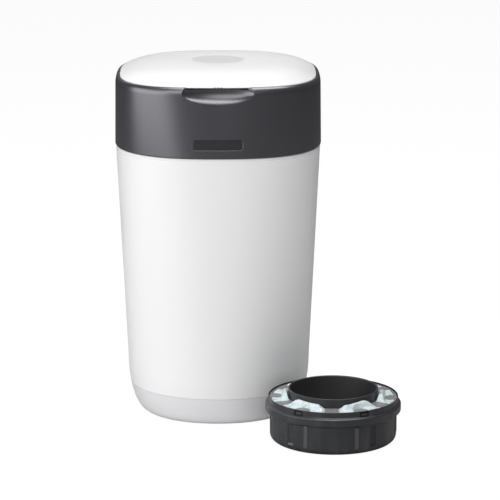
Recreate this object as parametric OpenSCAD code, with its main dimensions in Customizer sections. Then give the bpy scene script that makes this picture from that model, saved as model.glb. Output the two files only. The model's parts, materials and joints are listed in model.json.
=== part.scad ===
// Twist-action nappy bin: tub, lift-off head with a turning cassette carrier,
// hinged lid, swinging film cutter and one film cassette standing beside it.
// Millimetres, +Z up, front towards -Y, origin on the floor under the tub's centre.

/* [Overall] */
// Width of the collar where it meets the tub
collar_w = 260; // [250:1:330]
// Depth of the collar where it meets the tub
collar_d = 260; // [250:1:330]
// Height of the seam between the tub and the head
seam_z = 347; // [330:1:420]
// Height of the head from the seam to the lid's edge
head_h = 88.4; // [86:0.2:110]
// Rise of the lid's dome above its edge
dome_rise = 14.5; // [8:0.5:20]

/* [Outline] */
// Squareness of the outline at the base, 2 is round
round_base = 2.1; // [2:0.05:3]
// Squareness of the outline at the seam
round_seam = 2.5; // [2:0.05:3.5]
// Squareness of the lid's outline
round_lid = 3; // [2.5:0.05:4]
// Width of the tub where its lower curve starts
waist_w = 232.2; // [215:0.2:255]
// Width of the foot that the tub stands on
foot_w = 187.6; // [170:0.2:205]
// Height of the tub's lower curve
curve_h = 70; // [50:1:90]
// Height of the base cup's upper edge
band_z = 36.5; // [30:0.5:45]
// Step from the collar's edge in to the tub's side
tub_step = 0.9; // [0.4:0.1:2]

/* [Tub] */
// Wall of the tub and the base cup
tub_wall = 2.5; // [2:0.1:3.5]
// Height of the rim that enters the collar
rim_h = 9.3; // [6:0.1:14]
// Radius of a foot pad
pad_r = 9; // [6:0.5:12]
// Height that the pads stand proud of the base
pad_proud = 1; // [0.5:0.1:2]
// Distance of the pads' centres inside the foot's half-width
pad_inset = 35.8; // [30:0.1:50]

/* [Collar] */
// Wall of the collar
collar_wall = 2.8; // [2.2:0.1:3.4]
// How far the collar leans in between the seam and its shoulder
collar_lean = 1.1; // [0:0.1:3]
// Height of the rounded shoulder
shoulder_h = 9.8; // [6:0.2:14]
// How far the shoulder turns in
shoulder_in = 4.9; // [3:0.1:7]
// Width of the ledge that the lid closes on
ledge_w = 12.2; // [11:0.1:18]
// Thickness of that ledge
ledge_t = 3; // [2:0.1:4]
// Depth of the recess that the lid's edge sits in
lid_recess = 3; // [2:0.1:5]

/* [Finger scoop] */
// Half the width of the scoop
scoop_rx = 45; // [30:1:60]
// Half the height of the scoop
scoop_rz = 16.3; // [10:0.1:20]
// Depth of the scoop
scoop_depth = 12.5; // [8:0.1:12.5]
// Distance of the scoop's centre below the lid's edge
scoop_drop = 7.1; // [4:0.1:10]
// Wall behind the scoop
scoop_wall = 1.8; // [1.4:0.1:2]

/* [Plaque] */
// Width of the blank plaque
plaque_w = 60; // [40:1:80]
// Height of the blank plaque
plaque_h = 13; // [8:0.5:20]
// Height of its centre above the seam
plaque_rise = 17.1; // [14:0.1:25]
// Depth of its recess
plaque_depth = 0.9; // [0.5:0.1:1.2]

/* [Lid] */
// Wall of the lid
lid_wall = 2.5; // [2:0.1:3]
// Height of the lid's upright edge
lid_lip = 3.3; // [2.5:0.1:5]
// Radius of the round inlay on the lid
inlay_r = 33; // [20:1:36]
// Thickness of the liner plate under the lid
liner_t = 2; // [1.5:0.1:3]
// Length of the liner's skirt below its plate
skirt_h = 7; // [4:0.5:10]
// Thickness of the lid seal
seal_t = 1.6; // [1:0.1:2.5]
// Width of the lid seal
seal_w = 5; // [3:0.5:7]
// Length of the closing tongue
tongue_h = 19; // [14:1:24]

/* [Lid hinge] */
// Room between the lid's edge and the hinge barrel
hinge_room = 0.8; // [0.6:0.1:2.5]
// Distance of the hinge line below the lid's edge
hinge_drop = 0.6; // [0:0.1:2]
// Radius of the hinge barrel
barrel_r = 4.5; // [3.5:0.1:6]
// Radius of the hinge pin
pin_r = 1.5; // [1.2:0.1:2]
// Length of the lid's barrel
barrel_l = 56; // [30:1:80]
// Width of each bracket ear
ear_w = 7; // [4:0.5:10]

/* [Cassette] */
// Radius of the cassette's cup
cup_r = 79; // [64:0.1:82]
// Reach of the cassette's flange past its ribs
flange_w = 4.8; // [4:0.1:9]
// Height of the flange's underside
flange_z = 38.5; // [30:0.5:45]
// Height of the cup's rim
cup_h = 55.6; // [48:0.1:68]
// Radius of the inner sleeve
sleeve_r = 55.2; // [45:0.1:58]
// Height of the inner sleeve above the cup's rim
sleeve_rise = 9.6; // [6:0.1:14]
// Wall of the cassette's pieces
cassette_wall = 1.9; // [1.5:0.1:2.5]
// Rounding of the cup's lower edge
cup_round = 8; // [4:0.5:12]
// Gap between the tub and the cassette that stands beside it
stand_gap = 10.0; // [1:0.1:60]
// Direction from the tub to the cassette, from the front towards the right
stand_angle = 42; // [30:0.1:60]
// Turn of the cassette about its own axis
cassette_turn = -4; // [-30:1:30]

/* [Carrier] */
// Depth of the seated cassette's rim below the lid's edge
rim_drop = 46.9; // [44:0.1:54]
// Wall of the carrier
carrier_wall = 2.5; // [2:0.1:3]
// Reach of the carrier's turning flange past its wall
turn_w = 16.7; // [14:0.1:19]
// Width of the ring that holds the carrier down
keep_w = 7.1; // [6:0.1:9]
// Number of click notches round the ratchet ring
notch_count = 24; // [12:4:36]
// Number of finger ribs on the twist ring
grip_count = 16; // [8:2:24]

/* [Gripper and cutter] */
// Radius of the gap at the fingers' tips
tip_r = 26; // [15:1:35]
// Number of gripper fingers
finger_count = 8; // [6:1:12]
// Depth of the fingers' cone
cone_h = 20; // [12:1:24]
// Angle that the cutter arm is parked at, from the line to the centre
park_angle = 55; // [45:1:60]
// Length of the cutter arm
arm_l = 104; // [95:1:110]
// Width of the cutter arm
arm_w = 14; // [10:1:18]

/* [Clearances] */
// Gap between pieces that rest on each other
seat_gap = 0.3; // [0.1:0.1:0.6]
// Gap round a piece that turns or lifts out
free_gap = 0.9; // [0.5:0.1:1.5]
// Radial play of a pin in its hole
pin_play = 0.06; // [0.02:0.01:0.1]
// Points round each moulded outline
ring_points = 64; // [32:8:96]

/* [Hidden] */
$fn = 96;
eps = 0.01;
depth_cut = (collar_w - collar_d) / 2;   // how much less each half-depth is

// Levels, from the floor up
lid_z = seam_z + head_h;             // lid's edge
rim_z = lid_z - 0.9;                 // top of the collar's shoulder
ledge_z = rim_z - lid_recess;        // top of the ledge
shelf_z = ledge_z - ledge_t;         // underside of the ledge
shoulder_z = rim_z + 0.2 - shoulder_h;
latch_z = shelf_z - 17;              // bottom of the latch keeper
lip_low_z = latch_z - 1;             // bottom of the bowl's straight lip
seat_z = lid_z - rim_drop - cup_h + flange_z;   // cassette seat in the carrier
sleeve_h = cup_h + sleeve_rise;      // top of the cassette's sleeve
turn_z = seat_z + cup_h - flange_z - 0.5;   // underside of the turning flange
turn_t = 3;                          // its thickness
deck_z = turn_z - seat_gap;          // top of the deck plate
deck_t = 2.7;
carrier_z = seat_z - flange_z - 6.1; // bottom of the carrier
tube_z = carrier_z - 5;              // bottom of the deck's tube
grip_t = 2.2;                        // thickness of the gripper's flange
clamp_t = 2.8;
arm_t = 5;
arm_z = tube_z - cone_h - arm_t - 5; // underside of the cutter arm

// Half-widths along X
seam_a = collar_w / 2;
lid_gap = 0.8;                       // gap round the lid's edge
lid_a = seam_a - collar_lean - shoulder_in - lid_gap;
mouth_a = lid_a - ledge_w;           // opening that the skirt enters
waist_a = waist_w / 2;
foot_a = foot_w / 2;
tub_top_a = seam_a - tub_step;
pad_x = foot_a - pad_inset;          // centres of the pads
pad_y = foot_a - depth_cut - pad_inset;

// Radii round the turning axis
well_r = cup_r + free_gap;           // carrier's lower bore
flange_r = cup_r + flange_w;         // cassette's flange
collet_r = flange_r + 1;             // carrier's upper bore
carrier_r = collet_r + carrier_wall;
ratchet_r = carrier_r + 2.9;
tube_r = ratchet_r + free_gap;       // deck's bore
tube_wall = 2.5;
turn_r = carrier_r + turn_w;         // carrier's turning flange
keep_r = turn_r + 0.6;               // inside of the retaining ring
bowl_r = keep_r + keep_w + seat_gap + 0.5;   // foot of the deck's bowl
bowl_wall = 2;
foot_flange_r = tube_r + tube_wall + 7.5;
screw_ring_r = tube_r + tube_wall + 3.8;

hinge_y = lid_a - depth_cut + barrel_r + hinge_room;
hinge_z = lid_z - hinge_drop;
pivot_r = screw_ring_r - 5;          // cutter pivot from the centre
pivot_turn = 135;
corner_pull = 1.4142;

function mix(p, q, t) = p + (q - p) * t;
function squircle(a, b, n, count = ring_points) =
  [for (i = [0:count - 1]) let (t = 360 * i / count, c = cos(t), s = sin(t),
    r = pow(pow(abs(c) / a, n) + pow(abs(s) / b, n), -1 / n)) [r * c, r * s]];
// Reach of an outline towards its corner
function corner(a, n) = a * corner_pull / pow(2, 1 / n);

// Outline of the tub: half-width and squareness at a height
function tub_half(z) = z < curve_h
  ? foot_a + (waist_a - foot_a) * sqrt(1 - pow(1 - z / curve_h, 2))
  : mix(waist_a, tub_top_a, (z - curve_h) / (seam_z - curve_h));
function tub_round(z) = mix(round_base, round_seam, max(0, z - curve_h) / (seam_z - curve_h));
function tub_ring(z, inset = 0) =
  [tub_half(z) - inset, tub_half(z) - depth_cut - inset, tub_round(z), z];

// Outline of the collar: straight side, then the shoulder's quarter curve
function collar_half(z) = z < shoulder_z
  ? seam_a - collar_lean * (z - seam_z) / (shoulder_z - seam_z)
  : seam_a - collar_lean - shoulder_in
    + shoulder_in * sqrt(max(0, 1 - pow((z - shoulder_z) / shoulder_h, 2)));
function collar_round(z) = mix(round_seam, round_lid, (z - seam_z) / (lid_z - seam_z));
function collar_ring(z, inset = 0) =
  [collar_half(z) - inset, collar_half(z) - depth_cut - inset, collar_round(z), z];

// Dome of the lid at a share t of its half-width
function dome_z(t) = lid_z + dome_rise * (1 - pow(t, 5));
function dome_ring(t, inset = 0) =
  [(lid_a - inset) * t, (lid_a - depth_cut - inset) * t, round_lid, dome_z(t) - inset];

// Points of a quarter arc from angle a0 to a1
function arc(x, y, r, a0, a1, steps = 6) =
  [for (i = [0:steps]) let (t = mix(a0, a1, i / steps)) [x + r * cos(t), y + r * sin(t)]];

// Solid skinned over outlines [half-width, half-depth, squareness, height], lowest first
module loft(rings, count = ring_points) {
  pts = [for (k = rings) for (p = squircle(k[0], k[1], k[2], count)) [p[0], p[1], k[3]]];
  m = len(rings);
  sides = [for (j = [0:m - 2]) for (i = [0:count - 1]) for (h = [0:1])
    let (a = j * count, b = a + count, k = (i + 1) % count)
    h == 0 ? [a + i, b + i, b + k] : [a + i, b + k, a + k]];
  ends = [[for (i = [0:count - 1]) i], [for (i = [count - 1:-1:0]) (m - 1) * count + i]];
  polyhedron(pts, concat(sides, ends));
}
// Plate with a moulded outline
module plate(a, n, z, h) translate([0, 0, z]) linear_extrude(h)
  polygon(squircle(a, a - depth_cut, n));
// Flat ring with a moulded outline
module band(a, w, n, z, h) translate([0, 0, z]) linear_extrude(h) difference() {
  polygon(squircle(a, a - depth_cut, n));
  polygon(squircle(a - w, a - depth_cut - w, n));
}
// Round ring
module ring(r, r_in, z, h) translate([0, 0, z]) difference() {
  cylinder(r = r, h = h);
  translate([0, 0, -1]) cylinder(r = r_in, h = h + 2);
}
// Children placed round the turning axis
module around(count, r, start = 0) for (i = [0:count - 1])
  rotate([0, 0, start + 360 * i / count]) translate([r, 0, 0]) children();
// Children placed at the four corners
module corners(x, y) for (i = [-1, 1], j = [-1, 1]) translate([i * x, j * y, 0]) children();
// Rounded tile standing on the XZ plane, from y0 outwards
module tile(w, h, r, y0, depth) translate([0, y0, 0]) rotate([90, 0, 0]) linear_extrude(depth)
  union() {
    square([w - 2 * r, h], center = true);
    square([w, h - 2 * r], center = true);
    for (i = [-1, 1], j = [-1, 1]) translate([i * (w / 2 - r), j * (h / 2 - r)])
      circle(r = r, $fn = 32);
  }
// Screw with a pan head, head down, shank from z up
module screw(r, length, head_r, head_h) {
  translate([0, 0, -head_h]) cylinder(r = head_r, h = head_h, $fn = 32);
  translate([0, 0, -head_h / 2]) cylinder(r = r, h = length + head_h / 2, $fn = 32);
}

// ---- Tub ----
cup_floor = pad_proud + tub_wall + 0.2;    // top of the base cup's floor
tub_inset = tub_wall + seat_gap;           // tub wall inside the base cup
tub_low = cup_floor + seat_gap;
rim_a = seam_a - collar_wall - free_gap;   // outside of the rim in the collar

// Soft pads: one at each corner and one under the centre
module pad_places() {
  corners(pad_x, pad_y) children();
  children();
}
module tub_body() color("white") difference() {
  loft(concat(
    [for (z = [tub_low, 11, 22, band_z + seat_gap]) tub_ring(z, tub_inset)],
    [for (z = [band_z + seat_gap + eps, 45, 56, curve_h, 150, 240, seam_z - 4]) tub_ring(z)],
    [tub_ring(seam_z - 1.6, 0.15), tub_ring(seam_z - seat_gap, 0.7)],
    [for (z = [seam_z - seat_gap + eps, seam_z + rim_h])
      [rim_a, rim_a - depth_cut, round_seam, z]]));
  loft(concat(
    [for (z = [tub_low + tub_wall, 14, 25, 40, curve_h, 150, 240, seam_z - 12])
      tub_ring(z, tub_inset + tub_wall)],
    [for (z = [seam_z - 4, seam_z + rim_h + 1])
      [rim_a - tub_wall, rim_a - depth_cut - tub_wall, round_seam, z]]));
}
module base_cup() color("gainsboro") difference() {
  loft([for (z = [pad_proud, 2.5, 6, 11, 18, 27, band_z]) tub_ring(z)]);
  loft(concat(
    [for (z = [cup_floor, 11, 22, band_z - 1]) tub_ring(z, tub_wall)],
    [for (z = [band_z, band_z + 1]) let (k = tub_ring(band_z, tub_wall)) [k[0], k[1], k[2], z]]));
  pad_places() translate([0, 0, -1])
    cylinder(r = pad_r + 0.15, h = pad_proud + 2.4, $fn = 48);
}
module foot_pads() color("dimgray") pad_places()
  cylinder(r = pad_r, h = pad_proud + 1.4, $fn = 48);

// ---- Head ----
boss_r = 4;
// Bosses midway between the bowl and the collar at the corners, for a half-width less cut
function boss_at(cut) = (corner(mouth_a - cut + bowl_wall, round_lid)
  + corner(collar_half(deck_z) - cut - collar_wall, collar_round(deck_z))) / 2 / corner_pull;
boss_x = boss_at(0);
boss_y = boss_at(depth_cut);
scoop_y = collar_half(lid_z - scoop_drop - 6) - depth_cut;
notch_w = barrel_l + 2 * ear_w + 1.6;      // hinge notch in the collar
notch_z = hinge_z - barrel_r - 5.8;        // its floor
notch_y = mouth_a - depth_cut + bowl_wall + 0.5;
plaque_z = seam_z + plaque_rise;

module scoop(grow) translate([0, -scoop_y, lid_z - scoop_drop])
  loft([for (u = [-84, -72, -58, -44, -28, -12, 4, 20, 36, 52, 68, 84])
    [(scoop_rx + grow) * cos(u), (scoop_depth + grow) * cos(u), 2,
     (scoop_rz + grow) * sin(u)]], 48);

module collar_blank(inset = 0) loft([for (k = [0, 0.4, 0.72, 1]) collar_ring(
    mix(seam_z, shoulder_z, k), inset)], ring_points);

module collar_form() loft(concat(
  [collar_ring(seam_z, 0.5), collar_ring(seam_z + 0.6)],
  [for (k = [0.35, 0.7, 1]) collar_ring(mix(seam_z, shoulder_z, k))],
  [for (u = [22, 42, 60, 76]) collar_ring(shoulder_z + shoulder_h * sin(u))],
  [collar_ring(rim_z)]));

module head_collar() color([0.24, 0.24, 0.26]) difference() {
  union() {
    difference() {
      collar_form();
      loft([for (z = [seam_z - 1, mix(seam_z, shelf_z, 0.5), shelf_z])
        collar_ring(z, collar_wall)]);
      plate(mouth_a, round_lid, shelf_z - 1, ledge_t + 2);
      plate(lid_a + lid_gap, round_lid, ledge_z, lid_recess + 2);
    }
    // bosses that the deck is screwed to
    corners(boss_x, boss_y) translate([0, 0, deck_z])
      cylinder(r = boss_r, h = shelf_z - deck_z + 1, $fn = 40);
    // wall behind the finger scoop
    intersection() {
      scoop(scoop_wall);
      collar_form();
      translate([-scoop_rx - 5, -scoop_y, lid_z - scoop_drop - scoop_rz - 4])
        cube([2 * scoop_rx + 10, scoop_depth + 5, ledge_z - lid_z + scoop_drop + scoop_rz + 4]);
    }
    // floor of the hinge notch
    translate([-notch_w / 2 - 3, notch_y, notch_z - 3])
      cube([notch_w + 6, collar_half(notch_z) - depth_cut - 1.5 - notch_y, 3 + eps]);
  }
  scoop(0);
  corners(boss_x, boss_y) translate([0, 0, deck_z - 1])
    cylinder(r = 1.3, h = 16, $fn = 32);
  translate([-notch_w / 2, notch_y, notch_z]) cube([notch_w, 40, 40]);
  difference() {
    translate([0, 0, plaque_z]) tile(plaque_w, plaque_h, 2.5, -(seam_a - depth_cut) + 8, 12);
    collar_blank(plaque_depth);
  }
}
module front_plaque() color([0.16, 0.16, 0.18]) intersection() {
  translate([0, 0, plaque_z])
    tile(plaque_w - 0.5, plaque_h - 0.5, 2.3, -(seam_a - depth_cut) + 8, 12);
  difference() {
    collar_blank(0.35);
    collar_blank(plaque_depth - 0.02);
  }
}
module head_deck() color([0.3, 0.3, 0.32]) difference() {
  union() {
    plate(collar_half(deck_z) - collar_wall - seat_gap, collar_round(deck_z) - 0.05,
      deck_z - deck_t, deck_t);
    loft([
      [bowl_r + bowl_wall, bowl_r + bowl_wall, 2, deck_z - 1],
      [mouth_a + bowl_wall, mouth_a - depth_cut + bowl_wall, round_lid, lip_low_z],
      [mouth_a + bowl_wall, mouth_a - depth_cut + bowl_wall, round_lid, shelf_z]]);
    translate([0, 0, tube_z]) cylinder(r = tube_r + tube_wall, h = deck_z - tube_z - 1);
    translate([0, 0, tube_z]) cylinder(r = foot_flange_r, h = 2.5);
    // ribs between the tube and the plate
    around(12, tube_r + 1, 15) translate([0, -1, deck_z - deck_t - 8])
      cube([bowl_r - tube_r + 3, 2, 9]);
  }
  loft([
    [bowl_r, bowl_r, 2, deck_z],
    [mouth_a, mouth_a - depth_cut, round_lid, lip_low_z],
    [mouth_a, mouth_a - depth_cut, round_lid, shelf_z + 0.01]]);
  translate([0, 0, tube_z - 1]) cylinder(r = tube_r, h = deck_z - tube_z + 2);
  corners(boss_x, boss_y) translate([0, 0, deck_z - deck_t - 1])
    cylinder(r = 1.7, h = deck_t + 2, $fn = 32);
  around(6, (keep_r + bowl_r) / 2, 30) translate([0, 0, deck_z - deck_t - 1])
    cylinder(r = 1.2, h = deck_t + 2, $fn = 32);
  around(6, screw_ring_r) translate([0, 0, tube_z - 1]) cylinder(r = 1.2, h = 5, $fn = 32);
  around(2, tube_r - 1) translate([0, -5, pawl_z - 4]) cube([tube_wall + 2, 10, 8]);
}
module deck_screws() color("silver") corners(boss_x, boss_y)
  translate([0, 0, deck_z - deck_t]) screw(1.25, 14, 3, 2);

// Hinge bracket in the collar's rear notch
module hinge_bracket() color([0.24, 0.24, 0.26]) difference() {
  union() {
    translate([-notch_w / 2 + 0.3, notch_y + 0.3, notch_z])
      cube([notch_w - 0.6, hinge_y + barrel_r - 3.4 - notch_y, 3]);
    for (i = [-1, 1]) translate([i * (barrel_l / 2 + seat_gap + ear_w / 2), 0, 0]) {
      translate([0, hinge_y, hinge_z]) rotate([0, 90, 0])
        cylinder(r = barrel_r, h = ear_w, center = true, $fn = 48);
      translate([-ear_w / 2, hinge_y - barrel_r, notch_z])
        cube([ear_w, 2 * barrel_r, hinge_z - notch_z]);
    }
  }
  translate([0, hinge_y, hinge_z]) rotate([0, 90, 0])
    cylinder(r = pin_r + 0.01, h = notch_w + 4, center = true, $fn = 48);
}
module hinge_pin() color("silver") translate([0, hinge_y, hinge_z]) rotate([0, 90, 0])
  cylinder(r = pin_r, h = barrel_l + 2 * ear_w, center = true, $fn = 48);

// Spring pads that pinch the lid's tongue
tongue_w = 16;
tongue_t = 1.8;
tongue_y = mouth_a - depth_cut - 3.8;   // outer face of the tongue
module latch_keeper() color("gray") {
  translate([-tongue_w / 2 - 3, -(mouth_a - depth_cut) + 0.2, latch_z])
    cube([tongue_w + 6, 1.6, 13]);
  for (i = [-1, 1]) translate([i * 5, -(mouth_a - depth_cut) + 1.8, shelf_z - 12])
    rotate([0, 90, 0]) cylinder(r = 1.6, h = 4, center = true, $fn = 32);
}

// ---- Carrier and what holds it ----
ring_screw_r = (keep_r + bowl_r) / 2;
module retaining_ring() color([0.32, 0.32, 0.34]) difference() {
  union() {
    ring(keep_r + keep_w, keep_r, deck_z, turn_t + 0.9);
    ring(keep_r + keep_w, turn_r - 3, deck_z + turn_t + 0.9 - eps, 2);
  }
  around(6, ring_screw_r, 30) translate([0, 0, deck_z - 1])
    cylinder(r = 1.2, h = 4, $fn = 32);
}
module retaining_screws() color("silver") around(6, ring_screw_r, 30)
  translate([0, 0, deck_z - deck_t]) screw(1.15, 5, 2.6, 1.8);

pawl_z = seat_z + 8;
pawl_r = 1.2;
leaf_r = tube_r + tube_wall + 1.6;
module detent_pawls() color("ivory") around(2, 0) {
  translate([leaf_r, -5, seat_z - 22]) cube([1.5, 10, 34]);
  translate([tube_r + tube_wall, -4, seat_z - 22]) cube([1.7, 8, 7]);
  translate([tube_r, -2, pawl_z - 2.5]) cube([leaf_r - tube_r + 0.2, 4, 5]);
  translate([tube_r, 0, pawl_z - 2.5]) cylinder(r = pawl_r, h = 5, $fn = 32);
}

module cassette_carrier() color([0.22, 0.22, 0.24]) rotate_extrude() polygon([
  [well_r - 7, carrier_z], [well_r + carrier_wall, carrier_z],
  [well_r + carrier_wall, seat_z - 6], [carrier_r, seat_z - 2.5],
  [carrier_r, turn_z], [turn_r, turn_z], [turn_r, turn_z + turn_t],
  [collet_r + 1, turn_z + turn_t], [collet_r, turn_z + turn_t - 1],
  [collet_r, seat_z], [well_r, seat_z], [well_r, carrier_z + 2.5],
  [well_r - 7, carrier_z + 2.5]]);
module ratchet_ring() color("ivory") difference() {
  ring(ratchet_r, carrier_r + 0.1, pawl_z - 4, 8);
  around(notch_count, tube_r) translate([0, 0, pawl_z - 5])
    cylinder(r = pawl_r + 0.4, h = 10, $fn = 32);
}
module twist_ring() color([0.4, 0.4, 0.42]) {
  base = turn_z + turn_t;
  outer = turn_r - 3.6;
  difference() {
    union() {
      ring(outer, collet_r + 1.2, base, 3);
      ring(collet_r + 8, collet_r + 4.6, base + 3 - eps, 10);
    }
    around(grip_count, outer + 3) translate([0, 0, base - 1])
      cylinder(r = 5, h = 5, $fn = 40);
  }
  around(grip_count, collet_r + 7.8, 180 / grip_count) translate([0, -1.4, base + 3 - eps])
    cube([outer - collet_r - 8.4, 2.8, 8]);
}

// ---- Film gripper and cutter under the head ----
module film_gripper() color("dimgray") difference() {
  rotate_extrude() polygon([
    [foot_flange_r - 0.4, tube_z - grip_t], [foot_flange_r - 0.4, tube_z],
    [well_r, tube_z], [tip_r, tube_z - cone_h + 1.4], [tip_r, tube_z - cone_h],
    [tip_r + 2, tube_z - cone_h], [well_r, tube_z - grip_t]]);
  around(6, screw_ring_r) translate([0, 0, tube_z - 5]) cylinder(r = 1.5, h = 8, $fn = 32);
  around(finger_count, tip_r - 3, 180 / finger_count) translate([0, -0.6, tube_z - 40])
    cube([well_r - tip_r - 8, 1.2, 60]);
}
module gripper_clamp() color([0.3, 0.3, 0.32]) difference() {
  union() {
    ring(foot_flange_r, well_r + 2, tube_z - grip_t - clamp_t, clamp_t);
    rotate([0, 0, pivot_turn]) translate([pivot_r, 0, tube_z - grip_t - clamp_t])
      cylinder(r = 7, h = clamp_t, $fn = 48);
  }
  around(6, screw_ring_r) translate([0, 0, tube_z - 10]) cylinder(r = 1.5, h = 12, $fn = 32);
  rotate([0, 0, pivot_turn]) translate([pivot_r, 0, tube_z - 12])
    cylinder(r = 2.52, h = 12, $fn = 48);
}
module gripper_screws() color("silver") around(6, screw_ring_r)
  translate([0, 0, tube_z - grip_t - clamp_t]) screw(1.15, 8.5, 2.8, 1.8);
module cutter_pivot() color("silver") rotate([0, 0, pivot_turn]) translate([pivot_r, 0, 0]) {
  translate([0, 0, arm_z - 1]) cylinder(r = 2.5, h = tube_z - grip_t - arm_z + 0.9, $fn = 48);
  translate([0, 0, arm_z - 2.5]) cylinder(r = 4.5, h = 2.2, $fn = 48);
  translate([0, 0, arm_z + arm_t + seat_gap])
    cylinder(r = 5, h = tube_z - grip_t - clamp_t - arm_z - arm_t - seat_gap, $fn = 48);
}
// Cutter arm's own frame: pivot at the origin, arm along +X, blade towards -Y
module in_arm_frame() rotate([0, 0, pivot_turn]) translate([pivot_r, 0, 0])
  rotate([0, 0, 180 + park_angle]) children();
blade_x = 38;
blade_l = 52;
blade_t = 0.6;
module cutter_arm() color("firebrick") in_arm_frame() difference() {
  union() {
    translate([0, 0, arm_z]) cylinder(r = arm_w / 2, h = arm_t, $fn = 48);
    translate([0, -arm_w / 2, arm_z]) cube([arm_l - arm_w / 2, arm_w, arm_t]);
    translate([arm_l - arm_w / 2, 0, arm_z]) cylinder(r = arm_w / 2, h = arm_t, $fn = 48);
    translate([arm_l - arm_w / 2, 0, arm_z - 6]) cylinder(r = 5, h = 6.5, $fn = 48);
  }
  translate([0, 0, arm_z - 1]) cylinder(r = 2.5 + pin_play, h = arm_t + 2, $fn = 48);
  translate([blade_x, -arm_w / 2 - 1, arm_z + arm_t / 2 - blade_t / 2 - 0.05])
    cube([blade_l, 9, blade_t + 0.1]);
}
module cutter_blade() color("silver") in_arm_frame()
  translate([blade_x + 0.1, -arm_w / 2 - 3, arm_z + arm_t / 2 - blade_t / 2])
    linear_extrude(blade_t) polygon([[0, 3], [2, 0], [blade_l - 2.2, 0], [blade_l - 0.2, 3],
      [blade_l - 0.2, 10.8], [0, 10.8]]);

// ---- Lid ----
liner_z = ledge_z + seat_gap + seal_t;     // underside of the liner plate
liner_a = lid_a - 8;
post_reach = mouth_a * 0.62;
post_share = pow(pow(post_reach / lid_a, round_lid)
  + pow((post_reach - depth_cut) / (lid_a - depth_cut), round_lid), 1 / round_lid);
post_top = dome_z(post_share) - lid_wall / 2;
lip_z = ledge_z + seat_gap;                // bottom of the lid's edge
module lid_panel() color("white") {
  difference() {
    loft(concat(
      [for (k = [[0.3, lip_z], [0, lip_z + 0.3], [0, lid_z - 0.5]])
        [lid_a - k[0], lid_a - depth_cut - k[0], round_lid, k[1]]],
      [for (t = [0.992, 0.975, 0.95, 0.91, 0.85, 0.76, 0.64, 0.48, 0.32]) dome_ring(t)]));
    loft(concat(
      [[lid_a - lid_wall, lid_a - depth_cut - lid_wall, round_lid, lip_z - 1]],
      [for (t = [0.995, 0.95, 0.88, 0.76, 0.6, 0.4]) dome_ring(t, lid_wall)]));
    translate([0, 0, dome_z(0) - 0.8]) cylinder(r = inlay_r, h = 4);
    for (x = [-4, 0, 4]) translate([x - 0.7, -(lid_a - depth_cut) - 1, lip_z - 1])
      cube([1.4, 4.5, 2.2]);
    // gap for the hinge arm
    translate([-barrel_l / 2 - seat_gap, lid_a - depth_cut - 8, lip_z - 1])
      cube([barrel_l + 2 * seat_gap, 12, liner_z + liner_t - lip_z + 1 + seat_gap]);
  }
  corners(post_reach, post_reach - depth_cut) translate([0, 0, liner_z + liner_t])
    cylinder(r = 3, h = post_top - liner_z - liner_t, $fn = 32);
}
module lid_inlay() color("lightgray") translate([0, 0, dome_z(0) - 0.8])
  cylinder(r = inlay_r - 0.2, h = 0.5);
module lid_liner() color("whitesmoke") {
  plate(liner_a, round_lid, liner_z, liner_t);
  band(mouth_a - 0.7, 2, round_lid, liner_z - skirt_h, skirt_h + eps);
  // arm and barrel of the hinge
  difference() {
    union() {
      translate([0, hinge_y, hinge_z]) rotate([0, 90, 0])
        cylinder(r = barrel_r, h = barrel_l, center = true, $fn = 48);
      translate([-barrel_l / 2, liner_a - depth_cut - 4, liner_z])
        cube([barrel_l, hinge_y - (liner_a - depth_cut) + 4, liner_t]);
    }
    translate([0, hinge_y, hinge_z]) rotate([0, 90, 0])
      cylinder(r = pin_r + pin_play, h = barrel_l + 2, center = true, $fn = 48);
  }
}
module lid_seal() color("gray")
  band(mouth_a + 0.6 + seal_w, seal_w, round_lid, ledge_z + seat_gap, seal_t);
module lid_tongue() color("gray") {
  translate([-tongue_w / 2, -tongue_y, liner_z - tongue_h])
    cube([tongue_w, tongue_t, tongue_h]);
}

// ---- Cassette ----
// Distance from the centre to the tub's side in a direction from the front, at a height
function tub_reach(t, z) = let (a = tub_half(z), n = tub_round(z))
  pow(pow(sin(t) / a, n) + pow(cos(t) / (a - depth_cut), n), -1 / n);
stand_r = tub_reach(stand_angle, cup_h) + flange_r + stand_gap;   // cassette from the centre
module at_cassette()
  translate([stand_r * sin(stand_angle), -stand_r * cos(stand_angle), 0]) rotate([0, 0, cassette_turn - 90])
  children();
side_r = cup_r - 0.8;
rib_rise = 0.8;
clip_count = 6;
clip_w = 8;                          // cover's clips
window_w = clip_w + 4;               // windows that they snap into
pad_tip = 8.5;                       // radius of the pads' round tips
feed_share = 0.41453;                // how far out the pads' tips lie between sleeve and rim
groove_turn = 6.5;                   // width of the grooves, in degrees
cover_t = 2.2;
cover_z = cup_h - 1.6 - cover_t;
cover_r = cup_r - 0.4;
module cup_ribs(angle, width, r_out) rotate([0, 0, angle - width / 2])
  rotate_extrude(angle = width) translate([side_r - 0.3, cup_round])
    square([r_out - side_r + 0.3, flange_z - cup_round - 1]);
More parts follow.
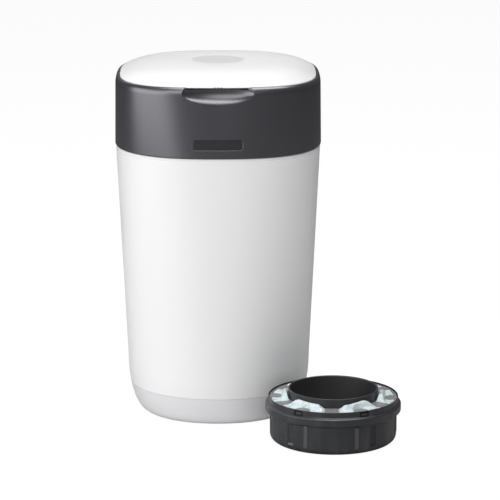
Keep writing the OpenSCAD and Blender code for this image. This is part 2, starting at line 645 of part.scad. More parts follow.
module cassette_cup() color([0.22, 0.22, 0.23]) at_cassette() {
  difference() {
    rotate_extrude() polygon(concat(
      [[sleeve_r + seat_gap, 0]],
      arc(side_r - cup_round, cup_round, cup_round, -90, 0),
      [[side_r, flange_z - 0.6], [side_r + 2.2, flange_z], [flange_r - 1.6, flange_z + 2],
       [flange_r - 0.2, flange_z + 7.6], [flange_r - 1.1, flange_z + 8],
       [flange_r - 1.1, flange_z + 9.2], [flange_r, flange_z + 9.6],
       [flange_r, cup_h - 1.1], [flange_r - 0.9, cup_h], [cover_r + 0.6, cup_h],
       [cover_r + 0.6, cup_h - 7.4], [side_r - cassette_wall, cup_h - 10]],
      arc(side_r - cup_round, cup_round, cup_round - cassette_wall, 0, -90),
      [[sleeve_r + seat_gap, cassette_wall]]));
    // windows that the cover's clips snap into
    around(clip_count, cover_r - 0.4, 30) translate([0, -window_w / 2, cup_h - 7.9])
      cube([10, window_w, 6]);
    // grooves beside the panels
    for (k = [0:2], i = [-1, 1]) rotate([0, 0, 120 * k + i * 40 - groove_turn / 2])
      rotate_extrude(angle = groove_turn) translate([side_r - 1, cup_round + 1])
        square([3, flange_z - cup_round - 3]);
  }
  for (k = [0:2], i = [-1, 1]) cup_ribs(120 * k + i * 23.4, 3.8, cup_r);
}
module cassette_sleeve() color([0.2, 0.2, 0.21]) at_cassette() rotate_extrude() polygon(concat(
  [[sleeve_r - cassette_wall, 0], [sleeve_r, 0], [sleeve_r, sleeve_h - 1.6],
   [sleeve_r + 0.4, sleeve_h - 0.8], [sleeve_r, sleeve_h]],
  [[sleeve_r - cassette_wall + 0.4, sleeve_h], [sleeve_r - cassette_wall, sleeve_h - 1]]));
module cassette_cover() color([0.42, 0.42, 0.44]) at_cassette() {
  difference() {
    union() {
      ring(cover_r, sleeve_r + seat_gap, cover_z, cover_t);
      ring(sleeve_r + seat_gap + 1.5, sleeve_r + seat_gap, cover_z, cover_t + 1.2);
    }
    // feed windows between the spokes
    for (k = [0:clip_count - 1]) rotate([0, 0, 60 * k + 7]) translate([0, 0, cover_z - 1])
      rotate_extrude(angle = 46) translate([sleeve_r + 2.9, 0])
        square([cover_r - sleeve_r - 4.5, cover_t + 2]);
  }
  // pads that reach over the windows from the rim
  intersection() {
    translate([0, 0, cover_z]) cylinder(r = cover_r, h = cover_t);
    around(clip_count, mix(sleeve_r, cover_r, feed_share) + pad_tip, 30) translate([0, 0, cover_z]) union() {
      cylinder(r = pad_tip, h = cover_t);
      translate([0, -pad_tip, 0]) cube([pad_tip, 2 * pad_tip, cover_t]);
    }
  }
  // clips in the cup's windows
  around(clip_count, cover_r - 0.4, 30) translate([0, -clip_w / 2, cup_h - 6.6])
    cube([2.6, clip_w, 3.4]);
  around(clip_count, cover_r - 2.4, 30) translate([0, -clip_w / 2, cup_h - 6.6])
    cube([2.2, clip_w, cover_z + cover_t - cup_h + 6.6]);
}
module film_pack() color([0.78, 0.85, 0.84]) at_cassette() rotate_extrude() polygon([
  [sleeve_r + 1.6, cassette_wall + 0.6],
  [side_r - cassette_wall - cup_round + 2, cassette_wall + 0.6],
  [side_r - cassette_wall - 0.8, cup_round + 1], [side_r - cassette_wall - 0.8, cover_z - 10],
  [side_r - cassette_wall - 6, cover_z - 1.6], [sleeve_r + 3, cover_z - 0.5],
  [sleeve_r + 1.6, cover_z - 3]]);

tub_body();
base_cup();
foot_pads();
head_collar();
front_plaque();
head_deck();
deck_screws();
hinge_bracket();
hinge_pin();
latch_keeper();
retaining_ring();
retaining_screws();
detent_pawls();
film_gripper();
gripper_clamp();
gripper_screws();
cutter_pivot();
cassette_carrier();
ratchet_ring();
twist_ring();
cutter_arm();
cutter_blade();
lid_panel();
lid_inlay();
lid_liner();
lid_seal();
lid_tongue();
cassette_cup();
cassette_sleeve();
cassette_cover();
film_pack();
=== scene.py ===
"""Looks of a twist-action nappy bin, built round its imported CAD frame.

Each new surface is a function of two parameters worked out with numpy; only the cassette's cover is
made from filled outlines. Places are in metres in the CAD frame: +Z up, front towards -Y, origin on the
floor under the tub's centre.
"""

import json
import logging
import math
from dataclasses import dataclass, field
from enum import Enum
from functools import cached_property

import bmesh
import bpy
import numpy as np
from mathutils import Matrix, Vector

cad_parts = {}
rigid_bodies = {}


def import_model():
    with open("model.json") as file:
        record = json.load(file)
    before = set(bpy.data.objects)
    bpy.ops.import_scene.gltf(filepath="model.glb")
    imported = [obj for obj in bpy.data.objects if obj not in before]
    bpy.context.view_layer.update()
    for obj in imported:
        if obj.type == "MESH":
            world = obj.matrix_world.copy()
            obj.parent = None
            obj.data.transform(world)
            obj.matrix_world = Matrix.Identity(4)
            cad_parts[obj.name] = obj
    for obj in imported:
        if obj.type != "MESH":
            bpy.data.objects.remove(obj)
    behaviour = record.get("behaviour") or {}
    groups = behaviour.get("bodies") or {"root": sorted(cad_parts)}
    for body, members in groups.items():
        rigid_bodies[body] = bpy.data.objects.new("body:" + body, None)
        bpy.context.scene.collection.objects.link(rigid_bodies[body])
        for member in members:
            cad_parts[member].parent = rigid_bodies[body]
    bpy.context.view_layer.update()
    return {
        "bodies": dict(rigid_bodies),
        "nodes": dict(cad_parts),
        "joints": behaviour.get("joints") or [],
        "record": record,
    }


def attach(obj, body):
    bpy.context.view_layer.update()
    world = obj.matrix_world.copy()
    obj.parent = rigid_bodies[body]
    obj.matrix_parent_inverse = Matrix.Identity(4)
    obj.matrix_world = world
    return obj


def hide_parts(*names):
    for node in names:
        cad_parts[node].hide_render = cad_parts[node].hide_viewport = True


log = logging.getLogger("nappy_bin")
Number = float | np.ndarray  # one number, or a whole array of them
Socket = bpy.types.NodeSocket
Feed = float | Socket  # what a node's input is given
Triple = tuple[float, float, float]
MM = 0.001
FRAME_PX = 500
SENSOR_MM = 36.0
ROUND = 2.0  # power of a round outline


# ---------------------------------------------------------------- surfaces
def smooth_step(low: float, high: float, value: Number) -> Number:
    """Rises from 0 at low to 1 at high along the curve 3t^2 - 2t^3."""
    t = np.clip((value - low) / (high - low), 0.0, 1.0)
    return t * t * (3.0 - 2.0 * t)


def mix(a: Number, b: Number, t: Number) -> Number:
    """Goes in a straight line from a at t = 0 to b at t = 1."""
    return a + (b - a) * t


def equal_angles(count: int) -> np.ndarray:
    """Equal angles round the outline, in radians."""
    return np.linspace(0, 2 * np.pi, count, endpoint=False)


def arc(x: float, z: float, radius: float, start: float, end: float, steps: int) -> np.ndarray:
    """Points on a circle in a profile plane: centre + radius * (cos, sin) at equal steps of the angle.

    Args:
        x, z: centre. radius: its radius. start, end: angles in degrees. steps: stretches between points.

    Returns:
        Array (steps + 1, 2).
    """
    t = np.radians(np.linspace(start, end, steps + 1))
    return np.stack([x + radius * np.cos(t), z + radius * np.sin(t)], -1)


def upright(radius: float, low: float, high: float, count: int) -> np.ndarray:
    """Equally spaced points up or down a straight wall in a profile plane."""
    return np.stack([np.full(count, radius), np.linspace(low, high, count)], -1)


def beside(x: float, z: float, *offsets: tuple[float, float]) -> np.ndarray:
    """Points in a profile plane, from their offsets in millimetres from (x, z)."""
    return np.array(offsets, float) * MM + [x, z]


def rows(power: float, *points: tuple[float, float] | np.ndarray) -> np.ndarray:
    """Profile rows (half-width, height, power) from points (half-width, height) that share one power."""
    return np.column_stack([np.array(points, float), np.full(len(points), power)])


def polar(radius: Number, theta: np.ndarray, height: Number) -> np.ndarray:
    """Points (radius * cos, radius * sin, height), broadcast over the inputs."""
    return np.stack(np.broadcast_arrays(radius * np.cos(theta), radius * np.sin(theta), height), -1)


def turned(points: np.ndarray, degrees: float) -> np.ndarray:
    """Turns points about the Z axis.

    Args:
        points: (..., 3). degrees: angle, anticlockwise from above.

    Returns:
        Array of the same shape: (c x - s y, s x + c y, z) with c and s the angle's cosine and sine.
    """
    c, s = math.cos(math.radians(degrees)), math.sin(math.radians(degrees))
    x, y = points[..., 0], points[..., 1]
    return np.stack([c * x - s * y, s * x + c * y, points[..., 2]], -1)


def rounded_rectangle(half: float, half_h: float, corner: float) -> tuple[np.ndarray, np.ndarray]:
    """Outline of a rounded rectangle: 12 points on each corner, 40 on a long side and 4 on a short one.

    Args:
        half: half its width. half_h: half its height. corner: its corners' radius, which may shrink to 0.

    Returns:
        x and y of the points, anticlockwise.
    """
    corner, half_h = max(corner, 1e-9), max(half_h, 1e-9)
    turn = np.linspace(0, np.pi / 2, 12)
    bend_x, bend_y = half - corner + corner * np.cos(turn), half_h - corner + corner * np.sin(turn)
    top = np.linspace(half - corner, corner - half, 42)[1:-1]
    side = np.linspace(half_h - corner, corner - half_h, 6)[1:-1]
    x = np.concatenate([bend_x, top, -bend_x[::-1], np.full(len(side), -half)])
    y = np.concatenate([bend_y, np.full(len(top), half_h), bend_y[::-1], side])
    return np.concatenate([x, -x]), np.concatenate([y, -y])


def swept(profile: np.ndarray, theta: np.ndarray) -> np.ndarray:
    """Grid of a soft-cornered outline, |x / half|^power + |y / half|^power = 1, carried up a profile.

    Args:
        profile: rows (half-width, height, power); power 2 is round and more is squarer.
        theta: polar angles of the columns, in radians.

    Returns:
        Array (rows, columns, 3).
    """
    half, z, power = (profile[:, k][:, None] for k in range(3))
    c, s = np.cos(theta)[None, :], np.sin(theta)[None, :]
    reach = half * (np.abs(c) ** power + np.abs(s) ** power) ** (-1.0 / power)
    return np.stack(np.broadcast_arrays(reach * c, reach * s, z), -1)


def value_noise(points: np.ndarray, scale: float, seed: int) -> np.ndarray:
    """Smooth noise: a sum of eight plane waves with seeded directions and phases.

    Args:
        points: (..., 3) in metres. scale: waves per metre. seed: choice of waves.

    Returns:
        Array of the leading shape, mostly within -1..1.
    """
    rng = np.random.default_rng(seed)
    waves = rng.normal(size=(8, 3))
    waves /= np.linalg.norm(waves, axis=1, keepdims=True)
    phase = rng.uniform(0, 2 * np.pi, 8)
    pitch = scale * rng.uniform(0.6, 1.5, 8)
    return np.sin(2 * np.pi * pitch * (points @ waves.T) + phase).sum(-1) / 4.0


# ---------------------------------------------------------------- meshes
class Wrap(Enum):
    """How a grid closes on itself: whether its columns and its rows do."""

    SHEET = (False, False)
    TUBE = (True, False)
    RING = (True, True)


def put_in_scene(name: str, data: bpy.types.ID) -> bpy.types.Object:
    """Links a new object to the scene.

    Args:
        name: its name. data: what it shows.

    Returns:
        The object, at the origin.
    """
    thing = bpy.data.objects.new(name, data)
    bpy.context.scene.collection.objects.link(thing)
    return thing


def shade_smooth(mesh: bpy.types.Mesh, crease: float) -> None:
    """Shades a mesh smooth, and keeps edges sharp that turn more than crease degrees."""
    mesh.polygons.foreach_set("use_smooth", np.ones(len(mesh.polygons), bool))
    mesh.set_sharp_from_angle(angle=math.radians(crease))


def add_mesh(
    name: str, verts: np.ndarray, quads: np.ndarray, tris: np.ndarray, crease: float, weld: bool
) -> bpy.types.Object:
    """Puts arrays into a new mesh object at the origin.

    Args:
        name: piece name. verts: (n, 3). quads: (k, 4). tris: (m, 3).
        crease: edges that turn more than this many degrees stay sharp.
        weld: points that were pushed onto each other become one.

    Returns:
        The linked object, smooth shaded.
    """
    mesh = bpy.data.meshes.new(name)
    loops = np.concatenate([quads.ravel(), tris.ravel()]).astype(np.int32)
    totals = np.concatenate([np.full(len(quads), 4), np.full(len(tris), 3)]).astype(np.int32)
    starts = np.concatenate([[0], np.cumsum(totals)[:-1]]).astype(np.int32)
    mesh.vertices.add(len(verts))
    mesh.vertices.foreach_set("co", np.asarray(verts, np.float32).ravel())
    mesh.loops.add(len(loops))
    mesh.loops.foreach_set("vertex_index", loops)
    mesh.polygons.add(len(totals))
    mesh.polygons.foreach_set("loop_start", starts)
    mesh.polygons.foreach_set("loop_total", totals)
    mesh.update(calc_edges=True)
    mesh.validate()
    if weld:
        shape = bmesh.new()
        shape.from_mesh(mesh)
        bmesh.ops.remove_doubles(shape, verts=shape.verts, dist=0.005 * MM)
        shape.to_mesh(mesh)
        shape.free()
    shade_smooth(mesh, crease)
    return put_in_scene(name, mesh)


def join_grids(name: str, grids: list, crease: float = 35.0, weld: bool = False) -> bpy.types.Object:
    """One mesh from several grids.

    Args:
        name: piece name.
        grids: pairs (points (m, n, 3), Wrap). A row whose points coincide becomes a pole.
        crease: sharp-edge angle in degrees. weld: points that were pushed onto each other become one.

    Returns:
        The object. Rows run up the outside and columns turn anticlockwise, so faces point outwards.
    """
    verts, quads, tris, base = [], [], [], 0
    for points, wrap in grids:
        wrap_columns, wrap_rows = wrap.value
        m, n = points.shape[:2]
        index = np.arange(m * n).reshape(m, n)
        pole = np.ptp(points, axis=1).max(-1) < 1e-9
        index[pole] = index[pole][:, :1]
        if wrap_columns:
            index = np.concatenate([index, index[:, :1]], 1)
        if wrap_rows:
            index = np.concatenate([index, index[:1]], 0)
        q = np.stack([index[:-1, :-1], index[:-1, 1:], index[1:, 1:], index[1:, :-1]], -1).reshape(-1, 4)
        low, high = q[:, 0] == q[:, 1], q[:, 2] == q[:, 3]
        t = np.concatenate([q[low][:, [0, 2, 3]], q[high & ~low][:, [0, 1, 2]]])
        q = q[~(low | high)]
        used, inverse = np.unique(np.concatenate([q.ravel(), t.ravel()]), return_inverse=True)
        verts.append(points.reshape(-1, 3)[used])
        quads.append(inverse[: q.size].reshape(-1, 4) + base)
        tris.append(inverse[q.size :].reshape(-1, 3) + base)
        base += len(used)
    return add_mesh(name, np.concatenate(verts), np.concatenate(quads), np.concatenate(tris), crease, weld)


# ---------------------------------------------------------------- finishes
class Nodes:
    """Short hand for adding nodes and links to one tree."""

    def __init__(self, tree: bpy.types.NodeTree) -> None:
        """Keeps the tree that nodes are added to."""
        self.tree = tree

    def fill(self, node: bpy.types.Node, inputs: dict) -> None:
        """Feeds a node's inputs.

        Args:
            node: the node. inputs: socket name or index to a value, or to an output socket to link.
        """
        for key, value in inputs.items():
            if isinstance(value, Socket):
                self.tree.links.new(value, node.inputs[key])
            else:
                node.inputs[key].default_value = value

    def add(self, kind: str, inputs: dict | None = None, **settings: object) -> bpy.types.Node:
        """Adds a node.

        Args:
            kind: node type without its ShaderNode prefix. inputs: as fill takes them.
            settings: node properties.

        Returns:
            The new node.
        """
        node = self.tree.nodes.new("ShaderNode" + kind if not kind.startswith("Node") else kind)
        for key, value in settings.items():
            setattr(node, key, value)
        self.fill(node, inputs or {})
        return node

    def place(self) -> Socket:
        """Adds Object coordinates and returns them."""
        return self.add("TexCoord").outputs["Object"]

    def noise(self, vector: Socket, scale: Feed, detail: float, **more: float) -> Socket:
        """Adds a Noise Texture, with more of its inputs by name, and returns its value."""
        inputs = {"Vector": vector, "Scale": scale, "Detail": detail, **more}
        return self.add("TexNoise", inputs).outputs[0]

    def math(self, operation: str, a: Feed, b: Feed = 0.5, c: Feed = 0.5) -> Socket:
        """Adds a Math node on a, b and c and returns its output."""
        return self.add("Math", {0: a, 1: b, 2: c}, operation=operation).outputs[0]

    def ramp(self, value: Socket, low: Feed, high: Feed, to_low: Feed = 0.0, to_high: Feed = 1.0) -> Socket:
        """Maps value from low..high to to_low..to_high, clamped, and returns the output."""
        inputs = {"Value": value, "From Min": low, "From Max": high, "To Min": to_low, "To Max": to_high}
        return self.add("MapRange", inputs).outputs[0]

    def blend(self, factor: Feed, a: tuple | Socket, b: tuple | Socket) -> Socket:
        """Mixes colour a into colour b by factor and returns the colour."""
        a, b = (colour if isinstance(colour, Socket) else (*colour, 1.0) for colour in (a, b))
        return self.add("Mix", {0: factor, 6: a, 7: b}, data_type="RGBA").outputs[2]


def make_group(name: str, inputs: dict, outputs: tuple) -> tuple[Nodes, dict, bpy.types.Node]:
    """Starts a shader node group.

    Args:
        name: its name. inputs: name of each number that it takes to its default.
        outputs: names of the numbers that it puts out.

    Returns:
        Its node maker, its input sockets by name and its output node.
    """
    tree = bpy.data.node_groups.new(name, "ShaderNodeTree")
    for label, default in inputs.items():
        socket = tree.interface.new_socket(name=label, in_out="INPUT", socket_type="NodeSocketFloat")
        socket.default_value = default
    for label in outputs:
        tree.interface.new_socket(name=label, in_out="OUTPUT", socket_type="NodeSocketFloat")
    nodes = Nodes(tree)
    entry = nodes.add("NodeGroupInput")
    return nodes, {s.name: s for s in entry.outputs if s.name}, nodes.add("NodeGroupOutput")


def blank(name: str) -> tuple[bpy.types.Material, Nodes, bpy.types.Node]:
    """Starts a node material.

    Args:
        name: its name.

    Returns:
        The material, its node maker and its Principled shader.
    """
    material = bpy.data.materials.new(name)
    material.use_nodes = True
    return material, Nodes(material.node_tree), material.node_tree.nodes["Principled BSDF"]


@dataclass(frozen=True)
class Plastic:
    """One moulded finish: linear colour, gloss, grain and wear."""

    name: str
    colour: Triple
    rough: float = 0.4
    rough_play: float = 0.05
    bump: float = 0.25
    grain_scale: float = 2600.0
    mottle: float = 0.04
    rub: float = 0.1
    dust: float = 0.04
    ior: float = 1.47
    gloss_tint: Triple = (1.0, 1.0, 1.0)
    glow: float = 0.0
    # whether the finish paints highlight and shade from the cup's mark attribute
    has_painted_light: bool = False


WHITE = Plastic("white_shell", (0.80, 0.80, 0.80), rough=0.36, bump=0.10, mottle=0.012, rub=0.3, glow=0.05)
# darker copy of the white: painted shade of the downward-facing foot band
WHITE_PAINTED_SHADE = Plastic("pale_shell", (0.69, 0.69, 0.70), rough=0.38, bump=0.12, mottle=0.02, glow=0.05)
DARK = Plastic(
    "dark_shell", (0.0155, 0.0158, 0.0205), rough=0.33, rough_play=0.015, bump=0.12, grain_scale=1900.0,
    mottle=0.06, rub=0.03, dust=0.02, ior=2.35, gloss_tint=(0.95, 0.945, 1.0),
)
PLAQUE = Plastic("plaque", (0.026, 0.026, 0.029), rough=0.36, bump=0.12, mottle=0.08, rub=0.02)
INNER = Plastic("dark_inner", (0.040, 0.040, 0.044), rough=0.5, bump=0.4, mottle=0.1, rub=0.04)
GREY = Plastic("grey_plastic", (0.16, 0.16, 0.17), rough=0.45, bump=0.3, rub=0.08)
ACETAL = Plastic("acetal", (0.66, 0.65, 0.60), rough=0.4, bump=0.15, glow=0.1)
RUBBER = Plastic(
    "soft_rubber", (0.060, 0.060, 0.064), rough=0.65, bump=0.5, grain_scale=1500.0, rub=0.05, dust=0.12,
)
PAD = Plastic("soft_pad", (0.11, 0.11, 0.115), rough=0.7, bump=0.5, grain_scale=1500.0, dust=0.15)
RED = Plastic("cutter_red", (0.42, 0.035, 0.03), rough=0.35, bump=0.15)
INLAY = Plastic(
    "inlay_grey", (0.70, 0.70, 0.705), rough=0.3, rough_play=0.0, bump=0.1, mottle=0.01, rub=0.0, dust=0.0,
)
CUP = Plastic(
    "cassette_dark", (0.0205, 0.021, 0.0235), rough=0.32, rough_play=0.07, bump=0.22, mottle=0.15, rub=0.06,
    ior=1.68, gloss_tint=(0.95, 0.97, 1.0), has_painted_light=True,
)
# rougher than the cup, and a shade lighter as painted light inside the sleeve
SLEEVE_PAINTED_LIGHT = Plastic(
    "sleeve_painted_light", (0.026, 0.026, 0.028), rough=0.5, rough_play=0.08, bump=0.22, mottle=0.2, rub=0.06,
    ior=1.6,
)
COVER = Plastic("cassette_grey", (0.225, 0.22, 0.225), rough=0.45, bump=0.4, mottle=0.12, rub=0.06)


@dataclass(frozen=True)
class Finishes:
    """Builds the shared node groups and one material for each finish, each of them once."""

    steel_colour: Triple = (0.62, 0.62, 0.64)
    steel_rough: float = 0.3
    dust_colour: Triple = (0.75, 0.75, 0.74)
    # colour of the painted highlight on the cup's ribs and of its pale upright streaks
    highlight_and_streak_colour: Triple = (0.095, 0.095, 0.098)
    # painted shade: black in the cup's windows and gaps, part of the way in its grooves
    painted_shade_colour: Triple = (0.003, 0.003, 0.003)
    glow_reach: float = 4.0 * MM
    made: dict = field(default_factory=dict)

    @cached_property
    def moulded_grain(self) -> bpy.types.NodeTree:
        """Fine spark-eroded grain: a height, a slow patchiness and a faint cloud, from Object coordinates.

        Returns:
            The shared node group.
        """
        inputs = {"Grain Scale": 2600.0, "Patch Scale": 18.0}
        n, i, out = make_group("moulded_grain", inputs, ("Height", "Patch", "Cloud"))
        place = n.place()
        fine = n.noise(place, i["Grain Scale"], 2.0)
        pits = n.add("TexVoronoi", {"Vector": place, "Scale": i["Grain Scale"]}).outputs["Distance"]
        patch = n.noise(place, i["Patch Scale"], 4.0, Roughness=0.6)
        cloud = n.noise(place, 4.0, 2.0)
        n.fill(out, {"Height": n.math("MULTIPLY_ADD", pits, 0.5, fine), "Patch": patch, "Cloud": cloud})
        return n.tree

    @cached_property
    def edge_rub(self) -> bpy.types.NodeTree:
        """Mask of edges that hands and cloths have rubbed: high pointiness broken up by noise.

        Returns:
            The shared node group.
        """
        n, i, out = make_group("edge_rub", {"Start": 0.53, "End": 0.62}, ("Mask",))
        noise = n.noise(n.place(), 60.0, 5.0)
        edge = n.ramp(n.add("NewGeometry").outputs["Pointiness"], i["Start"], i["End"])
        n.fill(out, {"Mask": n.math("MULTIPLY", edge, n.ramp(noise, 0.35, 0.65))})
        return n.tree

    @cached_property
    def settled_dust(self) -> bpy.types.NodeTree:
        """Mask of dust on faces that look up: the normal's height times a cloudy noise.

        Returns:
            The shared node group.
        """
        n, i, out = make_group("settled_dust", {"Amount": 0.1}, ("Mask",))
        up = n.add("SeparateXYZ", {0: n.add("NewGeometry").outputs["Normal"]}).outputs["Z"]
        noise = n.noise(n.place(), 140.0, 6.0, Roughness=0.7)
        mask = n.math("MULTIPLY", n.ramp(up, 0.5, 1.0), n.ramp(noise, 0.45, 0.8))
        n.fill(out, {"Mask": n.math("MULTIPLY", mask, i["Amount"])})
        return n.tree

    def plastic(self, spec: Plastic) -> bpy.types.Material:
        """Material of one moulded plastic or rubber: its colour clouded, rubbed at the edges and dusty.

        Args:
            spec: its values.

        Returns:
            The material, made once for each name.
        """
        if spec.name in self.made:
            return self.made[spec.name]
        material, n, shader = blank(spec.name)
        grain = n.add("Group", node_tree=self.moulded_grain)
        grain.inputs["Grain Scale"].default_value = spec.grain_scale
        rub = n.add("Group", node_tree=self.edge_rub)
        dust = n.add("Group", node_tree=self.settled_dust)
        dust.inputs["Amount"].default_value = spec.dust
        deep = tuple(c * (1.0 - spec.mottle) for c in spec.colour)
        worn = tuple(mix(c, 1.0, spec.rub) for c in spec.colour)
        low, high = spec.rough - spec.rough_play, spec.rough + spec.rough_play
        tone = n.blend(n.ramp(grain.outputs["Cloud"], 0.3, 0.7), deep, spec.colour)
        tone = n.blend(rub.outputs["Mask"], tone, worn)
        tone = n.blend(dust.outputs["Mask"], tone, self.dust_colour)
        rough = n.ramp(grain.outputs["Patch"], 0.3, 0.7, low, high)
        # painted highlight on ribs and painted shade in grooves, windows and gaps
        if spec.has_painted_light:
            tone, rough = self.paint_light_marks(n, tone, rough)
        bump = n.add("Bump", {"Height": grain.outputs["Height"], "Strength": spec.bump, "Distance": 0.1 * MM})
        n.fill(shader, {
            "Base Color": tone, "Roughness": rough, "Normal": bump.outputs[0], "IOR": spec.ior,
            "Specular Tint": (*spec.gloss_tint, 1.0), "Subsurface Weight": spec.glow,
            "Subsurface Radius": (self.glow_reach,) * 3,
        })
        self.made[spec.name] = material
        return material

    def paint_light_marks(self, n: Nodes, tone: Socket, rough: Socket) -> tuple[Socket, Socket]:
        """Painted highlight on the ribs where the cup's mark is above 0, pale upright streaks, and painted
        shade where it is below: part-dark in the grooves, black in the windows and gaps.

        Args:
            n: the material's node maker. tone: its colour so far. rough: its roughness so far.

        Returns:
            The new colour and roughness.
        """
        # the cup's mark: above 0 a painted highlight on the ribs, below 0 painted shade in grooves, windows
        # and gaps
        mark = n.add("Attribute", attribute_name="painted_light_mark").outputs["Fac"]
        streak = n.add("Mapping", {"Vector": n.place(), "Scale": (60.0, 60.0, 9.0)}).outputs[0]
        # pale upright streaks
        upright_streaks = n.math("MULTIPLY", n.ramp(n.noise(streak, 1.0, 3.0), 0.45, 0.75), 0.3)
        light = n.math("MAXIMUM", n.ramp(mark, 0.2, 1.0, 0.0, 0.55), upright_streaks)
        # painted shade: black at -2 in windows and gaps, part of the way at -1 in grooves
        sunk = n.ramp(mark, -2.0, -0.2, 1.0, 0.0)
        tone = n.blend(sunk, n.blend(light, tone, self.highlight_and_streak_colour), self.painted_shade_colour)
        return tone, n.math("MAXIMUM", rough, sunk)

    @cached_property
    def steel(self) -> bpy.types.Material:
        """Turned or rolled steel: long fine scratches stretched along Z over a slow patchiness.

        Returns:
            The material.
        """
        material, n, shader = blank("steel")
        stretched = n.add("Mapping", {"Vector": n.place(), "Scale": (2500.0, 2500.0, 120.0)}).outputs[0]
        lines = n.noise(stretched, 1.0, 3.0)
        dull = tuple(c * 0.85 for c in self.steel_colour)
        tone = n.blend(n.ramp(lines, 0.3, 0.7), dull, self.steel_colour)
        rough = n.ramp(lines, 0.3, 0.7, self.steel_rough - 0.08, self.steel_rough + 0.08)
        n.fill(shader, {"Base Color": tone, "Roughness": rough, "Metallic": 1.0})
        return material

    @cached_property
    def film(self) -> bpy.types.Material:
        """Thin turquoise-white film: glossy folds, their crests painted paler as a highlight, over a
        turquoise tone that varies with the folds.

        Returns:
            The material.
        """
        material, n, shader = blank("film")
        place = n.place()
        long = n.add("Mapping", {"Vector": place, "Scale": (1.0, 0.45, 1.6)}).outputs[0]
        fold = n.noise(long, 130.0, 3.0, Roughness=0.5, Distortion=2.2)
        fine = n.noise(place, 520.0, 3.0, Distortion=0.8)
        crest = n.math("SUBTRACT", 1.0, n.math("ABSOLUTE", n.ramp(fold, 0.3, 0.7, -1.0, 1.0)))
        body = n.blend(n.ramp(fold, 0.35, 0.65), (0.50, 0.63, 0.66), (0.67, 0.77, 0.80))
        height = n.math("MULTIPLY_ADD", fine, 0.25, crest)
        bump = n.add("Bump", {"Height": height, "Strength": 0.35, "Distance": 1.0 * MM})
        n.fill(shader, {
            # painted highlight: the bump's crests are coloured paler
            "Base Color": n.blend(n.ramp(crest, 0.55, 1.0), body, (0.78, 0.85, 0.87)),
            "Roughness": n.ramp(fine, 0.3, 0.7, 0.25, 0.42), "Normal": bump.outputs[0], "Coat Weight": 0.3,
        })
        return material


# ---------------------------------------------------------------- sizes
@dataclass(frozen=True)
class Outline:
    """Driving sizes of the bin's outline, in metres, as the CAD has them."""

    seam_a: float = 130.0 * MM
    seam_z: float = 347.0 * MM
    head_h: float = 88.4 * MM
    dome_rise: float = 14.5 * MM
    power_base: float = 2.1
    power_seam: float = 2.5
    power_lid: float = 3.0
    waist_a: float = 116.1 * MM
    foot_a: float = 93.8 * MM
    curve_h: float = 70.0 * MM  # height of the tub's round foot
    band_z: float = 36.5 * MM
    tub_step: float = 0.9 * MM
    collar_wall: float = 2.8 * MM
    lean: float = 1.1 * MM
    shoulder_h: float = 9.8 * MM
    shoulder_in: float = 4.9 * MM
    shoulder_over: float = 0.2 * MM  # how far above the rim the shoulder's ellipse ends
    rim_drop: float = 0.9 * MM
    lid_recess: float = 3.0 * MM
    lid_gap: float = 0.8 * MM
    ledge_w: float = 12.2 * MM
    seat_gap: float = 0.3 * MM
    free_gap: float = 0.9 * MM

    @property
    def lid_z(self) -> float:
        """Height of the lid's edge."""
        return self.seam_z + self.head_h

    @property
    def rim_z(self) -> float:
        """Height of the collar's upper rim."""
        return self.lid_z - self.rim_drop

    @property
    def ledge_z(self) -> float:
        """Height of the ledge that the lid lies on."""
        return self.rim_z - self.lid_recess

    @property
    def shoulder_z(self) -> float:
        """Height where the collar's shoulder starts to turn in."""
        return self.rim_z + self.shoulder_over - self.shoulder_h

    @property
    def lid_a(self) -> float:
        """Half-width of the lid."""
        return self.seam_a - self.lean - self.shoulder_in - self.lid_gap

    def tub(self, z: Number, inset: Number = 0.0) -> np.ndarray:
        """Profile of the tub: a quarter ellipse up to curve_h, then a straight flare to the seam.

        Args:
            z: heights. inset: distance inside the outer surface.

        Returns:
            Rows (half-width, height, power).
        """
        z = np.asarray(z, float)
        low = np.sqrt(np.maximum(0.0, 1 - (1 - np.minimum(z, self.curve_h) / self.curve_h) ** 2))
        rise = (z - self.curve_h) / (self.seam_z - self.curve_h)
        top = self.seam_a - self.tub_step
        half = np.where(z < self.curve_h, mix(self.foot_a, self.waist_a, low), mix(self.waist_a, top, rise))
        power = mix(self.power_base, self.power_seam, np.maximum(0.0, rise))
        return np.stack([half - inset, z, power], -1)

    def collar(self, z: Number, inset: Number = 0.0) -> np.ndarray:
        """Profile of the collar: a straight lean, then the shoulder's quarter ellipse.

        Args:
            z: heights. inset: distance inside the outer surface.

        Returns:
            Rows (half-width, height, power).
        """
        z = np.asarray(z, float)
        side = self.seam_a - self.lean * np.minimum(1.0, (z - self.seam_z) / (self.shoulder_z - self.seam_z))
        turn = np.clip((z - self.shoulder_z) / self.shoulder_h, 0.0, 1.0)
        half = side - self.shoulder_in * (1 - np.sqrt(1 - turn**2))
        power = mix(self.power_seam, self.power_lid, (z - self.seam_z) / self.head_h)
        return np.stack([half - inset, z, power], -1)


@dataclass
class Assembly:
    """Base of the sub-assemblies: the shared finishes and outline, and how a piece is dressed."""

    finishes: Finishes
    form: Outline = field(default_factory=Outline)

    def dress(
        self, piece: bpy.types.Object, body: str, slot: str, material: bpy.types.Material, *nodes: str
    ) -> None:
        """Gives a new piece its material and its place in the part.

        Args:
            piece: the new piece. body: body that it moves with. slot: not used.
            material: its finish. nodes: CAD nodes that it stands for.
        """
        piece.data.materials.clear()
        piece.data.materials.append(material)
        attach(piece, body)
        if nodes:
            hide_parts(*nodes)
        log.info("%s: %d faces on %s", piece.name, len(piece.data.polygons), body)

    def finish_nodes(self, frame: dict, material: bpy.types.Material, *nodes: str) -> None:
        """Gives CAD nodes that stay their material.

        Args:
            frame: the loaded frame. material: their finish. nodes: their names.
        """
        for node in nodes:
            piece = frame["nodes"][node]
            if piece.material_slots:
                piece.material_slots[0].material = material
            else:
                piece.data.materials.append(material)
            log.info("%s: CAD node finished", node)


